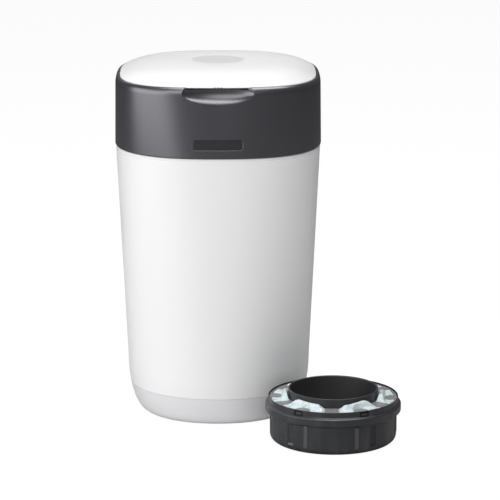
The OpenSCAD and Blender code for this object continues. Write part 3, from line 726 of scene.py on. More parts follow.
@dataclass
class Tub(Assembly):
    """White tub and the cup under it, whose white is painted a shade darker."""

    wall: float = 2.5 * MM
    rim_h: float = 9.3 * MM
    cup_floor: float = 3.7 * MM
    pad_proud: float = 1.0 * MM
    edge: float = 0.5 * MM
    columns: int = 288

    def build(self, frame: dict) -> None:
        """Builds the tub and the base cup, and finishes the pads.

        Args:
            frame: the loaded frame.
        """
        theta = equal_angles(self.columns)
        tub = join_grids("tub_shell", [(swept(self.tub_rows(), theta), Wrap.TUBE)])
        self.dress(tub, "tub", "white_shell", self.finishes.plastic(WHITE), "tub_body")
        # the cup's white is painted a shade darker, as shade on the foot band
        cup = join_grids("base_cup_shell", [(swept(self.cup_rows(), theta), Wrap.TUBE)])
        self.dress(cup, "tub", "pale_shell", self.finishes.plastic(WHITE_PAINTED_SHADE), "base_cup")
        self.finish_nodes(frame, self.finishes.plastic(PAD), "foot_pads")

    def tub_rows(self) -> np.ndarray:
        """Profile of the tub: under its floor, up its side, over its rim and down inside.

        Returns:
            Rows (half-width, height, power).
        """
        form = self.form
        inset = self.wall + form.seat_gap
        low, step = self.cup_floor + form.seat_gap, form.band_z + form.seat_gap
        return np.concatenate([
            rows(form.power_base, (0, low)),
            form.tub(np.linspace(low, step, 10), inset),
            form.tub([step], self.edge),
            form.tub(step + arc(0, 0, self.edge, -70, 0, 3)[:, 1] + self.edge),
            form.tub(np.linspace(step + 2 * MM, form.seam_z - 6 * MM, 46)),
            self.lip_rows(),
            self.rim_rows(),
            form.tub(np.linspace(form.seam_z - 12 * MM, low + self.wall, 40), inset + self.wall),
            rows(form.power_base, (0, low + self.wall)),
        ])

    def lip_rows(self) -> np.ndarray:
        """Rounded lip and fine groove just under the seam.

        Returns:
            Rows (half-width, height, power).
        """
        form = self.form
        z = form.seam_z + np.array([-5.2, -4.6, -4.2, -3.8, -3.2, -2.4, -1.4, -0.8, -0.45, -0.3]) * MM
        inset = np.array([0.0, 0.25, 0.4, 0.4, 0.1, -0.05, -0.05, 0.15, 0.4, 0.9]) * MM
        return form.tub(z, inset)

    def rim_rows(self) -> np.ndarray:
        """Rim that stands inside the collar, its edges rounded.

        Returns:
            Rows (half-width, height, power).
        """
        form = self.form
        rim = form.seam_a - form.collar_wall - form.free_gap
        top = form.seam_z + self.rim_h
        return rows(
            form.power_seam,
            *beside(rim, form.seam_z, (0.5, -0.3), (0, 0)),
            *beside(rim, top, (0, -0.6), (-0.6, 0)),
            *beside(rim - self.wall, top, (0.6, 0), (0, -0.6)),
            *beside(rim - self.wall, form.seam_z, (0, -4)),
        )

    def cup_rows(self) -> np.ndarray:
        """Profile of the cup round the tub's foot: a closed shell with a small rounded upper edge.

        Returns:
            Rows (half-width, height, power).
        """
        form, low, top = self.form, self.pad_proud, self.form.band_z
        under = form.tub([low])[0, 0]
        side = low + (top - self.edge - low) * np.linspace(0, 1, 26) ** 1.6
        return np.concatenate([
            rows(form.power_base, (0, low), (under * 0.5, low)),
            form.tub(side),
            form.tub([top - 0.15 * MM], 0.12 * MM),
            form.tub([top], self.edge),
            form.tub([top], self.wall - 0.3 * MM),
            form.tub(np.linspace(top - 0.3 * MM, self.cup_floor, 14), self.wall),
            rows(form.power_base, (0, self.cup_floor)),
        ])


@dataclass
class Head(Assembly):
    """Dark collar with the finger scoop, and the CAD pieces inside the head."""

    ledge_t: float = 3.0 * MM
    front_span: float = 23.5  # degrees to each side of the front where the columns stand close
    rim_rows: int = 6  # rows of the ledge's profile that the scoop's outer surface still cuts
    under_rows: int = 2  # its last rows, which lie on the underside
    scoop_rx: float = 45.0 * MM
    scoop_rz: float = 16.3 * MM
    scoop_depth: float = 12.5 * MM
    scoop_drop: float = 7.1 * MM
    scoop_below: float = 6.0 * MM
    scoop_wall: float = 1.8 * MM
    scoop_reach: float = 0.24 * MM  # how far a point may slide onto the rim
    scoop_start: float = 0.4 * MM  # how far a point is pushed before it also sinks
    notch_half: float = 35.8 * MM
    notch_y: float = 113.5 * MM
    notch_z: float = 424.5 * MM
    notch_floor_t: float = 3.0 * MM
    rear_y: float = 127.8 * MM  # where the notch's sides meet the rear face
    plaque_half: float = 30.0 * MM
    plaque_half_h: float = 6.5 * MM
    plaque_rise: float = 17.1 * MM
    plaque_corner: float = 2.5 * MM
    plaque_depth: float = 0.9 * MM

    def build(self, frame: dict) -> None:
        """Builds the collar and its plaque, and finishes the CAD pieces inside the head.

        Args:
            frame: the loaded frame.
        """
        plastic, steel = self.finishes.plastic, self.finishes.steel
        collar = join_grids("collar_shell", [(self.collar_grid(), Wrap.RING)], crease=40, weld=True)
        self.dress(collar, "head", "dark_shell", plastic(DARK), "head_collar")
        plaque = join_grids("plaque_blank", [(self.plaque_grid(), Wrap.TUBE)], weld=True)
        self.dress(plaque, "head", "plaque", plastic(PLAQUE), "front_plaque")
        looks = {
            INNER: ("head_deck", "retaining_ring", "gripper_clamp", "cassette_carrier"),
            DARK: ("hinge_bracket",),
            GREY: ("latch_keeper", "twist_ring"),
            ACETAL: ("detent_pawls", "ratchet_ring"),
            RUBBER: ("film_gripper",),
            RED: ("cutter_arm",),
        }
        for spec, nodes in looks.items():
            self.finish_nodes(frame, plastic(spec), *nodes)
        self.finish_nodes(frame, steel, "deck_screws", "hinge_pin", "retaining_screws", "gripper_screws")
        self.finish_nodes(frame, steel, "cutter_pivot", "cutter_blade")

    def columns(self) -> np.ndarray:
        """Columns of the collar: close across the scoop and the plaque, and just beside the hinge notch.

        Returns:
            Angles in radians, in order.
        """
        span = self.front_span
        front = np.radians(np.linspace(-90 - span, -90 + span, 231))
        rest = np.radians(np.linspace(-90 + span, 270 - span, 220)[1:-1])
        side = self.notch_half + np.array([-0.03, 0.03]) * MM
        notch = np.arctan2(self.rear_y, np.concatenate([-side, side]))
        return np.sort(np.concatenate([front, rest, notch]))

    def collar_grid(self) -> np.ndarray:
        """Closed loop of the collar, from its face over the ledge to its inside, and what is cut from it.

        Returns:
            Array (rows, columns, 3). The scoop's outer surface cuts the face and the rim's first rows,
            and a surface scoop_wall further in cuts the rest.
        """
        form = self.form
        face, ledge = self.face_rows(), self.ledge_rows()
        inner = form.collar(np.linspace(form.ledge_z - self.ledge_t, form.seam_z, 48), form.collar_wall)
        inner[0, 0] -= 0.6 * MM
        last = form.collar([form.seam_z], form.collar_wall - 0.4 * MM)
        grid = swept(np.concatenate([face, ledge, inner, last]), self.columns())
        count = len(face)
        grid[:count] = self.follow_rim(grid[:count])
        cut, edge_row = count + self.rim_rows, int(np.argmin(np.abs(face[:, 1] - form.ledge_z)))
        grid = np.concatenate([
            self.scoop(grid[:cut], 0.0, edge_row),
            self.scoop(grid[cut:], self.scoop_wall),
        ])
        grid = self.notch(grid, count + len(ledge) - self.under_rows)
        return self.plaque_recess(grid, count)

    def face_rows(self) -> np.ndarray:
        """Profile of the face from the seam up over the shoulder, its rows close where it is cut.

        Returns:
            Rows (half-width, height, power), one of them exactly at the ledge's height.
        """
        form = self.form
        low, shoulder = form.seam_z, form.shoulder_z
        over = shoulder + (form.rim_z - shoulder - 0.05 * MM) * np.sin(np.linspace(0, np.pi / 2, 22))
        over[np.argmin(np.abs(over - form.ledge_z))] = form.ledge_z
        return np.concatenate([
            form.collar([low, low + 0.15 * MM], np.array([0.6, 0.18]) * MM),
            form.collar(np.linspace(low + 0.6 * MM, low + 8 * MM, 10)),
            form.collar(np.linspace(low + 8.4 * MM, low + 26 * MM, 54)),
            form.collar(np.linspace(low + 28 * MM, shoulder - 18 * MM, 12)),
            form.collar(np.linspace(shoulder - 17 * MM, shoulder, 44)[:-1]),
            form.collar(over),
        ])

    def ledge_rows(self) -> np.ndarray:
        """Profile from the rim down the recess, over the ledge and round to its underside.

        Returns:
            Rows (half-width, height, power).
        """
        form = self.form
        recess, mouth = form.lid_a + form.lid_gap, form.lid_a - form.ledge_w
        rim_half, _, rim_power = form.collar([form.rim_z])[0]
        return np.concatenate([
            rows(rim_power, *beside(rim_half, form.rim_z, (-0.25, 0.02))),
            rows(
                form.power_lid,
                *beside(recess, form.rim_z, (0.3, 0), (0.05, -0.2), (0, -0.6)),
                *beside(recess, form.ledge_z, (0, 0.3), (-0.3, 0), (-2, 0), (-5, 0), (-8, 0)),
                *beside(mouth, form.ledge_z, (0.5, 0), (0, -0.5)),
                *beside(mouth, form.ledge_z - self.ledge_t, (0, 0.4), (0.4, 0), (5, 0)),
            ),
        ])

    def face_y(self, x: np.ndarray, z: np.ndarray, inset: float = 0.0) -> np.ndarray:
        """Front of the collar over (x, z): y = -half * (1 - |x / half|^power)^(1 / power).

        Args:
            x, z: places. inset: distance behind the face.

        Returns:
            y of each place.
        """
        profile = self.form.collar(z, inset)
        half, power = profile[..., 0], profile[..., 2]
        return -half * np.maximum(1 - (np.abs(x) / half) ** power, 0.0) ** (1 / power)

    def scoop_share(self, x: np.ndarray, z: np.ndarray, grow: float) -> np.ndarray:
        """Inside measure of the scoop's ellipse: 1 - (x / rx)^2 - ((z - centre) / rz)^2."""
        centre = self.form.lid_z - self.scoop_drop
        return 1 - (x / (self.scoop_rx + grow)) ** 2 - ((z - centre) / (self.scoop_rz + grow)) ** 2

    @property
    def scoop_plane(self) -> float:
        """Distance of the plane that holds the ellipsoid's centre: the face's, scoop_below under it."""
        return self.form.collar(self.form.lid_z - self.scoop_drop - self.scoop_below)[0]

    def scoop_measure(self, x: np.ndarray, z: np.ndarray) -> np.ndarray:
        """Positive where (x, z) on the face is inside the scoop, 0 on its rim: share - (proud / depth)^2."""
        proud = np.maximum(self.face_y(x, z) + self.scoop_plane, 0.0) / self.scoop_depth
        return self.scoop_share(x, z, 0.0) - proud**2

    def follow_rim(self, grid: np.ndarray) -> np.ndarray:
        """Slides the points next to the scoop's rim onto it, so that one clean edge follows the rim.

        A point goes there along the measure's slope, in three steps, when the rim is within scoop_reach.

        Args:
            grid: points of the face.

        Returns:
            The grid with those points moved over the face.
        """
        step = 0.02 * MM
        start_x, y, start_z = np.moveaxis(grid, -1, 0)
        x, z = start_x, start_z
        near = (y < -60 * MM) & (np.abs(x) < self.scoop_rx + 3 * MM)
        for _ in range(3):
            value = self.scoop_measure(x, z)
            slope_x = (self.scoop_measure(x + step, z) - value) / step
            slope_z = (self.scoop_measure(x, z + step) - value) / step
            pull = -value / (slope_x**2 + slope_z**2 + 1e-6)
            new_x, new_z = x + pull * slope_x, z + pull * slope_z
            move = near & (np.hypot(new_x - start_x, new_z - start_z) < self.scoop_reach)
            x, z = np.where(move, new_x, x), np.where(move, new_z, z)
        moved = (x != start_x) | (z != start_z)
        return np.stack([x, np.where(moved, self.face_y(x, z), y), z], -1)

    def scoop(self, grid: np.ndarray, grow: float, edge_row: int | None = None) -> np.ndarray:
        """Pushes a surface back to the scoop: y >= centre + depth * sqrt(1 - (x/rx)^2 - (z/rz)^2).

        Args:
            grid: points; those pushed back sink to the ledge's height where they stand above it.
            grow: how much larger the ellipsoid is.
            edge_row: row at that height where the sunk points of the rows above meet, column by column.

        Returns:
            The pushed grid.
        """
        x, y, z = np.moveaxis(grid, -1, 0)
        low = np.minimum(z, self.form.ledge_z)
        share = self.scoop_share(x, low, grow)
        back = -self.scoop_plane + (self.scoop_depth + grow) * np.sqrt(np.maximum(share, 0.0))
        lift = np.where((share > 0) & (y < back) & (y < 0), back - y, 0.0)
        sunk = lift > self.scoop_start
        out = np.stack([x, y + lift, np.where(sunk, low, z)], -1)
        if edge_row is not None:
            above = sunk & (z > self.form.ledge_z) & (lift[edge_row] > 0)[None, :]
            above[:edge_row] = False
            out = np.where(above[..., None], out[edge_row][None], out)
        return out

    def notch(self, grid: np.ndarray, under: int) -> np.ndarray:
        """Sinks the rim at the rear to the hinge notch's floor.

        Args:
            grid: the collar. under: row from which points sink to the floor's underside instead.

        Returns:
            The notched grid.
        """
        floor = np.full((len(grid), 1), self.notch_z)
        floor[under:] -= self.notch_floor_t
        x, y, z = np.moveaxis(grid, -1, 0)
        inside = (np.abs(x) < self.notch_half) & (y > self.notch_y) & (z > floor)
        return np.stack([x, y, np.where(inside, floor, z)], -1)

    def plaque_recess(self, grid: np.ndarray, count: int) -> np.ndarray:
        """Sinks a rounded rectangle by plaque_depth into the face.

        Args:
            grid: the collar. count: how many of its rows make the face.

        Returns:
            The grid with its recess.
        """
        corner = self.plaque_corner
        x, y, z = np.moveaxis(grid, -1, 0)
        dx = np.maximum(np.abs(x) - (self.plaque_half - corner), 0)
        dz = np.maximum(np.abs(z - self.form.seam_z - self.plaque_rise) - (self.plaque_half_h - corner), 0)
        depth = self.plaque_depth * (1 - smooth_step(-0.35 * MM, 0.1 * MM, np.hypot(dx, dz) - corner))
        face = np.arange(len(grid))[:, None] < count
        return np.stack([x, y + np.where(face & (y < 0), depth, 0.0), z], -1)

    def plaque_grid(self) -> np.ndarray:
        """Blank plaque in its recess: a rounded tile that follows the collar, just below its face.

        Returns:
            Array (rows, columns, 3), from the tile's back over its rounded edge to the middle of its front.
        """
        gap = 0.3 * MM
        tile = ((6.2, 0.88), (4.0, 0.88), (0.0, 0.88), (0.0, 0.6), (0.04, 0.46), (0.14, 0.37), (0.3, 0.35),
                (0.6, 0.35), (1.2, 0.35), (2.2, 0.35), (4.0, 0.35), (6.2, 0.35))
        grid = []
        for shrink, depth in np.array(tile) * MM:
            half, half_h = self.plaque_half - gap - shrink, self.plaque_half_h - gap - shrink
            x, z = rounded_rectangle(half, half_h, self.plaque_corner - 0.2 * MM - shrink)
            z = z + self.form.seam_z + self.plaque_rise
            grid.append(np.stack([x, self.face_y(x, z, depth), z], -1))
        return np.array(grid)


@dataclass
class Lid(Assembly):
    """Domed white lid with its plain round inlay, and the CAD pieces under it."""

    wall: float = 2.5 * MM
    edge: float = 0.9 * MM
    inlay_r: float = 33.0 * MM
    inlay_t: float = 0.5 * MM
    inlay_sink: float = 0.8 * MM
    inlay_round: float = 0.2 * MM
    lip_relief: float = 2.2 * MM
    relief_half: float = 38.0 * MM
    tooth_places: tuple[float, ...] = (-4.0 * MM, 0.0, 4.0 * MM)
    tooth_half: float = 0.72 * MM
    tooth_h: float = 1.0 * MM
    hinge_half: float = 28.3 * MM
    hinge_y: float = 112.0 * MM
    hinge_rise: float = 0.4 * MM

    @property
    def top_z(self) -> float:
        """Height of the dome's middle."""
        return self.form.lid_z + self.form.dome_rise

    @property
    def low_z(self) -> float:
        """Height of the lip's bottom edge."""
        return self.form.ledge_z + self.form.seat_gap

    def build(self, frame: dict) -> None:
        """Builds the lid panel and inlay, and finishes the CAD pieces under them.

        Args:
            frame: the loaded frame.
        """
        plastic = self.finishes.plastic
        panel = join_grids("lid_shell", [(self.panel_grid(), Wrap.RING)], crease=40, weld=True)
        self.dress(panel, "lid", "white_shell", plastic(WHITE), "lid_panel")
        disc = join_grids("lid_inlay_disc", [(swept(self.inlay_rows(), equal_angles(144)), Wrap.TUBE)])
        self.dress(disc, "lid", "inlay_grey", plastic(INLAY), "lid_inlay")
        for spec, node in ((WHITE, "lid_liner"), (RUBBER, "lid_seal"), (GREY, "lid_tongue")):
            self.finish_nodes(frame, plastic(spec), node)

    def columns(self) -> np.ndarray:
        """Columns of the panel: fine across the small teeth at the front edge and beside the hinge gap.

        Returns:
            Angles in radians, in order.
        """
        fine = np.arctan2(-self.form.lid_a, np.linspace(-6 * MM, 6 * MM, 41))
        side = self.hinge_half + np.array([-0.05, 0.05]) * MM
        gap = np.arctan2(self.form.lid_a, np.concatenate([-side, side]))
        rest = equal_angles(360)
        rest = rest[np.abs(rest - 1.5 * np.pi) > 0.055]
        return np.sort(np.concatenate([np.mod(fine, 2 * np.pi), rest, gap]))

    def dome(self, share: np.ndarray, inset: float = 0.0) -> np.ndarray:
        """Profile of the dome: height = edge + rise * (1 - share^5).

        Args:
            share: distance from the middle as a share of the half-width. inset: depth under the surface.

        Returns:
            Rows (half-width, height, power), round in the middle and as square as the lid at its edge.
        """
        form = self.form
        z = form.lid_z + form.dome_rise * (1 - share**5) - inset
        power = mix(ROUND, form.power_lid, smooth_step(0.2, 0.75, share))
        return np.stack([(form.lid_a - inset) * share, z, power], -1)

    def panel_grid(self) -> np.ndarray:
        """Closed shell: lip, rounded edge, dome, the inlay's recess, and the inside of dome and lip.

        Returns:
            Array (rows, columns, 3).
        """
        form, edge, inlay = self.form, self.edge, self.inlay_r
        a, top, low = form.lid_a, self.top_z, self.low_z
        turn = np.linspace(0.25, 1.2, 5)
        rounded = [a - edge * (1 - np.cos(turn)) * 0.6, form.lid_z - edge + edge * np.sin(turn)]
        profile = np.concatenate([
            rows(
                form.power_lid, (a - self.wall, low), *beside(a, low, (-0.4, 0), (-0.1, 0.12), (0, 0.4)),
                (a, form.lid_z - edge), *np.stack(rounded, -1),
            ),
            self.dome(1 - np.linspace(0.006, 1 - inlay / a - 0.003, 60)),
            rows(
                ROUND, *beside(inlay, top, (0.15, -0.03), (0, -0.15)), (inlay, top - self.inlay_sink),
                (0, top - self.inlay_sink), (0, top - self.wall),
            ),
            self.dome(np.linspace(0.1, 0.99, 30), self.wall),
            rows(form.power_lid, (a - self.wall, form.lid_z - 2.0 * MM)),
        ])
        return self.hinge_gap(self.teeth(swept(profile, self.columns())))

    def teeth(self, grid: np.ndarray) -> np.ndarray:
        """Raises the lip's bottom edge over the finger scoop, and more over each small tooth gap there.

        Args:
            grid: the panel.

        Returns:
            The panel with its lip cut.
        """
        x, y, z = np.moveaxis(grid, -1, 0)
        ends = self.relief_half + np.array([-1, 1]) * MM
        rise = self.lip_relief * (1 - smooth_step(*ends, np.abs(x)))
        for place in self.tooth_places:
            rise = np.where(np.abs(x - place) < self.tooth_half, self.lip_relief + self.tooth_h, rise)
        front = y < -0.8 * self.form.lid_a
        return np.stack([x, y, np.where(front, np.maximum(z, self.low_z + rise), z)], -1)

    def hinge_gap(self, grid: np.ndarray) -> np.ndarray:
        """Raises the lip's bottom edge over the hinge arm at the rear.

        Args:
            grid: the panel.

        Returns:
            The panel with its gap.
        """
        x, y, z = np.moveaxis(grid, -1, 0)
        top = self.form.lid_z + self.hinge_rise
        cut = (np.abs(x) < self.hinge_half) & (y > self.hinge_y)
        return np.stack([x, y, np.where(cut, np.maximum(z, top), z)], -1)

    def inlay_rows(self) -> np.ndarray:
        """Profile of the inlay: a thin disc with a rounded edge and a slight dish.

        Returns:
            Rows (half-width, height, power).
        """
        low = self.top_z - self.inlay_sink
        r, top, bend = self.inlay_r - 0.2 * MM, low + self.inlay_t, self.inlay_round
        return rows(
            ROUND, (0, low + 0.02 * MM), (r, low + 0.02 * MM), *arc(r - bend, top - bend, bend, 0, 90, 4),
            (r * 0.9, top - 0.02 * MM), (r * 0.5, top - 0.1 * MM), (0, top - 0.12 * MM),
        )


@dataclass
class Cassette(Assembly):
    """Film cassette on the floor: ribbed cup, sleeve, cover and the film that bulges through it."""

    x: float = 141.408 * MM
    y: float = -157.05 * MM
    turn: float = -94.0  # in degrees, as is every value below that has no MM
    wall: float = 1.9 * MM
    side_r: float = 78.2 * MM
    flange_r: float = 83.8 * MM
    flange_z: float = 38.5 * MM
    rim_r: float = 80.3 * MM
    cup_h: float = 55.6 * MM
    foot_round: float = 8.0 * MM
    rib_at: float = 23.4
    rib_half: float = 1.9
    rib_h: float = 0.8 * MM
    groove_at: float = 40.0
    groove_half: float = 3.25
    groove_depth: float = 1.0 * MM
    flank: float = 0.2
    window_half: float = 4.34
    window_back: float = 0.85 * MM
    sleeve_r: float = 55.2 * MM
    sleeve_h: float = 65.2 * MM
    cover_r: float = 78.6 * MM
    cover_t: float = 2.2 * MM
    cover_drop: float = 1.6 * MM
    cover_round: float = 0.3 * MM
    feed_in: float = 58.1 * MM
    feed_out: float = 77.0 * MM
    feed_half: float = 23.0
    feed_round: float = 1.2 * MM
    pad_in: float = 63.4 * MM
    pad_tip: float = 8.5 * MM
    bulge: float = 7.5 * MM

    @property
    def cover_z(self) -> float:
        """Height of the cover's underside."""
        return self.cup_h - self.cover_drop - self.cover_t

    @property
    def hole_r(self) -> float:
        """Radius of the hole round the sleeve, in the cup and in the cover."""
        return self.sleeve_r + self.form.seat_gap

    @property
    def feed_middles(self) -> range:
        """Angles of the six feed windows' middles, and of the clips beside them, in degrees."""
        return range(30, 360, 60)

    def build(self, frame: dict) -> None:
        """Builds the cassette's pieces.

        Args:
            frame: the loaded frame, of which no node stays here; not used.
        """
        plastic = self.finishes.plastic
        self.dress(self.cup(), "cassette", "cassette_dark", plastic(CUP), "cassette_cup")
        self.dress(self.sleeve(), "cassette", "cassette_dark", plastic(SLEEVE_PAINTED_LIGHT), "cassette_sleeve")
        self.dress(self.cover(), "cassette", "cassette_grey", plastic(COVER), "cassette_cover")
        self.dress(self.clips(), "cassette", "cassette_dark", plastic(CUP))
        self.dress(self.film(), "cassette", "film", self.finishes.film, "film_pack")

    def place(self, points: np.ndarray) -> np.ndarray:
        """Turns and moves points from the cassette's own axes to where it stands."""
        return turned(points, self.turn) + [self.x, self.y, 0.0]

    def columns(self) -> np.ndarray:
        """Columns of the cup: even, with extra ones at the sides of every rib, groove and clip window.

        Returns:
            Angles in radians, in order.
        """
        ends, thirds = np.array([-1, 1]), (0, 120, 240)
        edges = np.concatenate([self.rib_at + self.rib_half * ends, self.groove_at + self.groove_half * ends])
        flanks = np.add.outer(np.add.outer(thirds, np.outer(ends, edges)), (-0.3, -0.1, 0.1, 0.3))
        sides = np.add.outer(np.add.outer(self.feed_middles, self.window_half * ends), (-0.15, 0.15))
        marks = np.mod(np.concatenate([flanks.ravel(), sides.ravel()]), 360)
        even = np.arange(0, 360, 1.0)
        even = even[np.min(np.abs(even[:, None] - marks[None, :]), axis=1) > 0.15]
        return np.radians(np.sort(np.concatenate([even, marks])))

    def cup_rows(self) -> tuple[np.ndarray, np.ndarray]:
        """Profile of the cup.

        Returns:
            Points (radius, height): the outside, from the sleeve's hole over the foot and the stepped
            flange to the rim, and the inside, over the cover's seat back down to the hole.
        """
        f, h, w, side, bend = self.flange_z, self.cup_h, self.wall, self.side_r, self.foot_round
        heel = side - bend
        outside = np.concatenate([
            [[self.hole_r, 0.0], [heel - 4 * MM, 0.0]],
            arc(heel, bend, bend, -90, 0, 10),
            upright(side, bend, f - 4.4 * MM, 24)[1:],
            beside(side, f, (0, -3.8), (0, -3.4), (0.15, -3.1), (0.6, -2.6), (4.9, -0.6), (5.3, -0.3),
                   (5.5, 0), (5.6, 0.4)),
            beside(self.flange_r, f, (0, 1.0), (0, 2.6), (0, 4.4), (0, 6.2), (0, 7.6), (-0.05, 8.0),
                   (-0.2, 8.3), (-0.5, 8.6), (-1.6, 9.2), (-2.8, 9.7), (-3.3, 9.95), (-3.5, 10.2)),
            upright(self.rim_r, f + 10.6 * MM, h - 0.7 * MM, 12),
        ])
        inside = np.concatenate([
            beside(self.rim_r, h, (0, -0.4), (-0.06, -0.2), (-0.2, -0.05), (-0.35, 0)),
            beside(self.cover_r, h, (0.95, 0), (0.8, -0.06), (0.7, -0.3), (0.7, -1.5), (0.7, -6.6)),
            [[side - w, h - 10 * MM], [side - w, 0.5 * h]],
            arc(heel, bend, bend - w, 0, -90, 8),
            [[heel - 4 * MM, w], [self.hole_r, w]],
        ])
        return outside, inside

    def cup(self) -> bpy.types.Object:
        """Cup: a closed wall with a stepped flange, raised ribs, sunk grooves and six clip windows.

        Returns:
            The piece, with its painted-light attribute: 1 on a rib (painted highlight), -1 in a groove and -2
            in a window or gap (painted shade).
        """
        outer, inner = self.cup_rows()
        profile = np.concatenate([outer, inner])
        radius, height = profile[:, :1], profile[:, 1:]
        theta = self.columns()
        outside = np.arange(len(profile))[:, None] < len(outer)

        def off(place: float, pitch: float) -> np.ndarray:
            """Degrees from each column to the nearest of the marks at place and every pitch from it."""
            return np.abs(np.mod(np.degrees(theta) - place + pitch / 2, pitch) - pitch / 2)[None, :]

        def share(place: float, half: float) -> np.ndarray:
            """1 on the ribs or grooves that lie at place on both sides of every third, with soft flanks."""
            low, high = half - self.flank, half + self.flank
            return sum(1 - smooth_step(low, high, off(side * place, 120)) for side in (-1, 1))

        foot, f, h = self.foot_round, self.flange_z, self.cup_h
        rib = share(self.rib_at, self.rib_half) * smooth_step(foot - 2 * MM, foot + 1 * MM, height)
        rib = np.where(outside, rib * (1 - smooth_step(f - 3.6 * MM, f - 3.0 * MM, height)), 0.0)
        groove = share(self.groove_at, self.groove_half)
        groove = groove * smooth_step(foot + 0.2 * MM, foot + 2.2 * MM, height)
        groove = np.where(outside, groove * (1 - smooth_step(f - 4.6 * MM, f - 4.0 * MM, height)), 0.0)
        back = self.cover_r + self.window_back
        window = off(self.feed_middles.start, self.feed_middles.step) < self.window_half
        window = outside & window & (height > h - 7.0 * MM) & (height < h - 1.2 * MM)
        # inner top of the rim, painted black as shade
        gap = (height > h - 2 * MM) & (radius < back)
        radius = np.where(window, back, radius + self.rib_h * rib - self.groove_depth * groove)
        grid = self.place(polar(radius, theta, height))
        piece = join_grids("cassette_cup_shell", [(grid, Wrap.RING)], crease=38)
        # painted light: highlight on the ribs, shade in the grooves, black shade in the windows and the gap
        tone = np.where(window | gap, -2.0, rib - groove)
        mark = piece.data.attributes.new("painted_light_mark", "FLOAT", "POINT")
        mark.data.foreach_set("value", tone.ravel().astype(np.float32))
        return piece

    def sleeve(self) -> bpy.types.Object:
        """Sleeve: a thin tube with a rolled lip, open at both ends.

        Returns:
            The piece.
        """
        r, w, h = self.sleeve_r, self.wall, self.sleeve_h
        profile = np.concatenate([
            beside(r - w, 0, (0, 0.3), (0.3, 0)),
            beside(r, 0, (-0.3, 0), (0, 0.3)),
            upright(r, 4 * MM, h - 2.4 * MM, 12),
            beside(r, h, (0.05, -1.7), (0.3, -1.2), (0.4, -0.8), (0.3, -0.35), (0, -0.08), (-0.5, 0),
                   (-1.2, -0.08), (-1.6, -0.35), (-1.85, -0.9), (-1.9, -1.6)),
            upright(r - w, h - 4 * MM, 4 * MM, 12),
        ])
        grid = polar(profile[:, :1], equal_angles(240), profile[:, 1:])
        return join_grids("cassette_sleeve_tube", [(self.place(grid), Wrap.RING)], crease=38)

    def feed_outline(self, middle: float) -> np.ndarray:
        """Outline of one U-shaped feed window, round the pad that reaches into it.

        Args:
            middle: angle of the window's middle, in degrees.

        Returns:
            Points (n, 3) at height 0: two rings, joined by short bevels and by the pad's round tip.
        """
        span, bend = math.radians(self.feed_half), self.feed_round
        gap = math.asin(self.pad_tip / self.feed_out)
        trim_out, trim_in = bend / self.feed_out, bend / self.feed_in
        bevel = np.array([self.feed_out - bend, self.feed_in + bend])

        def ring(radius: float, start: float, end: float) -> np.ndarray:
            """Points along a ring between two angles."""
            return polar(radius, np.linspace(start, end, 20), 0.0)

        tip = polar(self.pad_tip, np.linspace(-0.5 * np.pi, -1.5 * np.pi, 25), 0.0)
        path = np.concatenate([
            ring(self.feed_out, trim_out - span, -gap),
            tip + [self.pad_in + self.pad_tip, 0, 0],
            ring(self.feed_out, gap, span - trim_out),
            polar(bevel, np.full(2, span), 0.0),
            ring(self.feed_in, span - trim_in, trim_in - span),
            polar(bevel[::-1], np.full(2, -span), 0.0),
        ])
        return turned(path, middle)

    def cover(self) -> bpy.types.Object:
        """Cover: a flat ring with six feed windows, its edges rounded.

        Returns:
            The piece, made from filled outlines, because the windows' shape fits no grid.
        """
        circle, bend = polar(1.0, equal_angles(180), 0.0), self.cover_round
        curve = bpy.data.curves.new("cover_outline", "CURVE")
        curve.dimensions, curve.fill_mode = "2D", "BOTH"
        curve.bevel_depth, curve.bevel_resolution = bend, 2
        curve.extrude, curve.offset = self.cover_t / 2 - bend, -bend
        windows = [self.feed_outline(middle) for middle in self.feed_middles]
        for loop in (circle * self.cover_r, circle * self.hole_r, *windows):
            spline = curve.splines.new("POLY")
            spline.points.add(len(loop) - 1)
            spline.use_cyclic_u = True
            flat = np.column_stack([loop, np.ones(len(loop))])
            spline.points.foreach_set("co", flat.astype(np.float32).ravel())
        shape = bpy.data.objects.new("cover_outline", curve)
        mesh = bpy.data.meshes.new_from_object(shape)
        verts = np.empty(len(mesh.vertices) * 3, np.float32)
        mesh.vertices.foreach_get("co", verts)
        verts = verts.reshape(-1, 3).astype(float) + [0, 0, self.cover_z + self.cover_t / 2]
        mesh.vertices.foreach_set("co", self.place(verts).astype(np.float32).ravel())
        mesh.name = "cassette_cover_plate"
        mesh.update()
        mesh.validate()
        shade_smooth(mesh, 38)
        bpy.data.objects.remove(shape)
        bpy.data.curves.remove(curve)
        return put_in_scene("cassette_cover_plate", mesh)

    def clips(self) -> bpy.types.Object:
        """Six clips in the cup's windows: small blocks with rounded edges on one mesh.

        Returns:
            The piece.
        """
        turn, middle = equal_angles(24), self.cup_h - 4.9 * MM
        across = (np.sign(np.cos(turn)) * 3.5 + np.cos(turn) * 0.5) * MM
        up = (np.sign(np.sin(turn)) * 1.2 + np.sin(turn) * 0.5) * MM
        steps = np.array([(-1.2, 0.0), (-1.2, 1.0), (1.2, 1.0), (1.42, 0.93), (1.5, 0.8), (1.5, 0.0)])
        out, share = steps[:, :1] * MM, steps[:, 1:]
        block = np.stack(np.broadcast_arrays(self.cover_r + out, across * share, middle + up * share), -1)
        grids = [(self.place(turned(block, angle)), Wrap.TUBE) for angle in self.feed_middles]
        return join_grids("cassette_cover_clips", grids, crease=50)

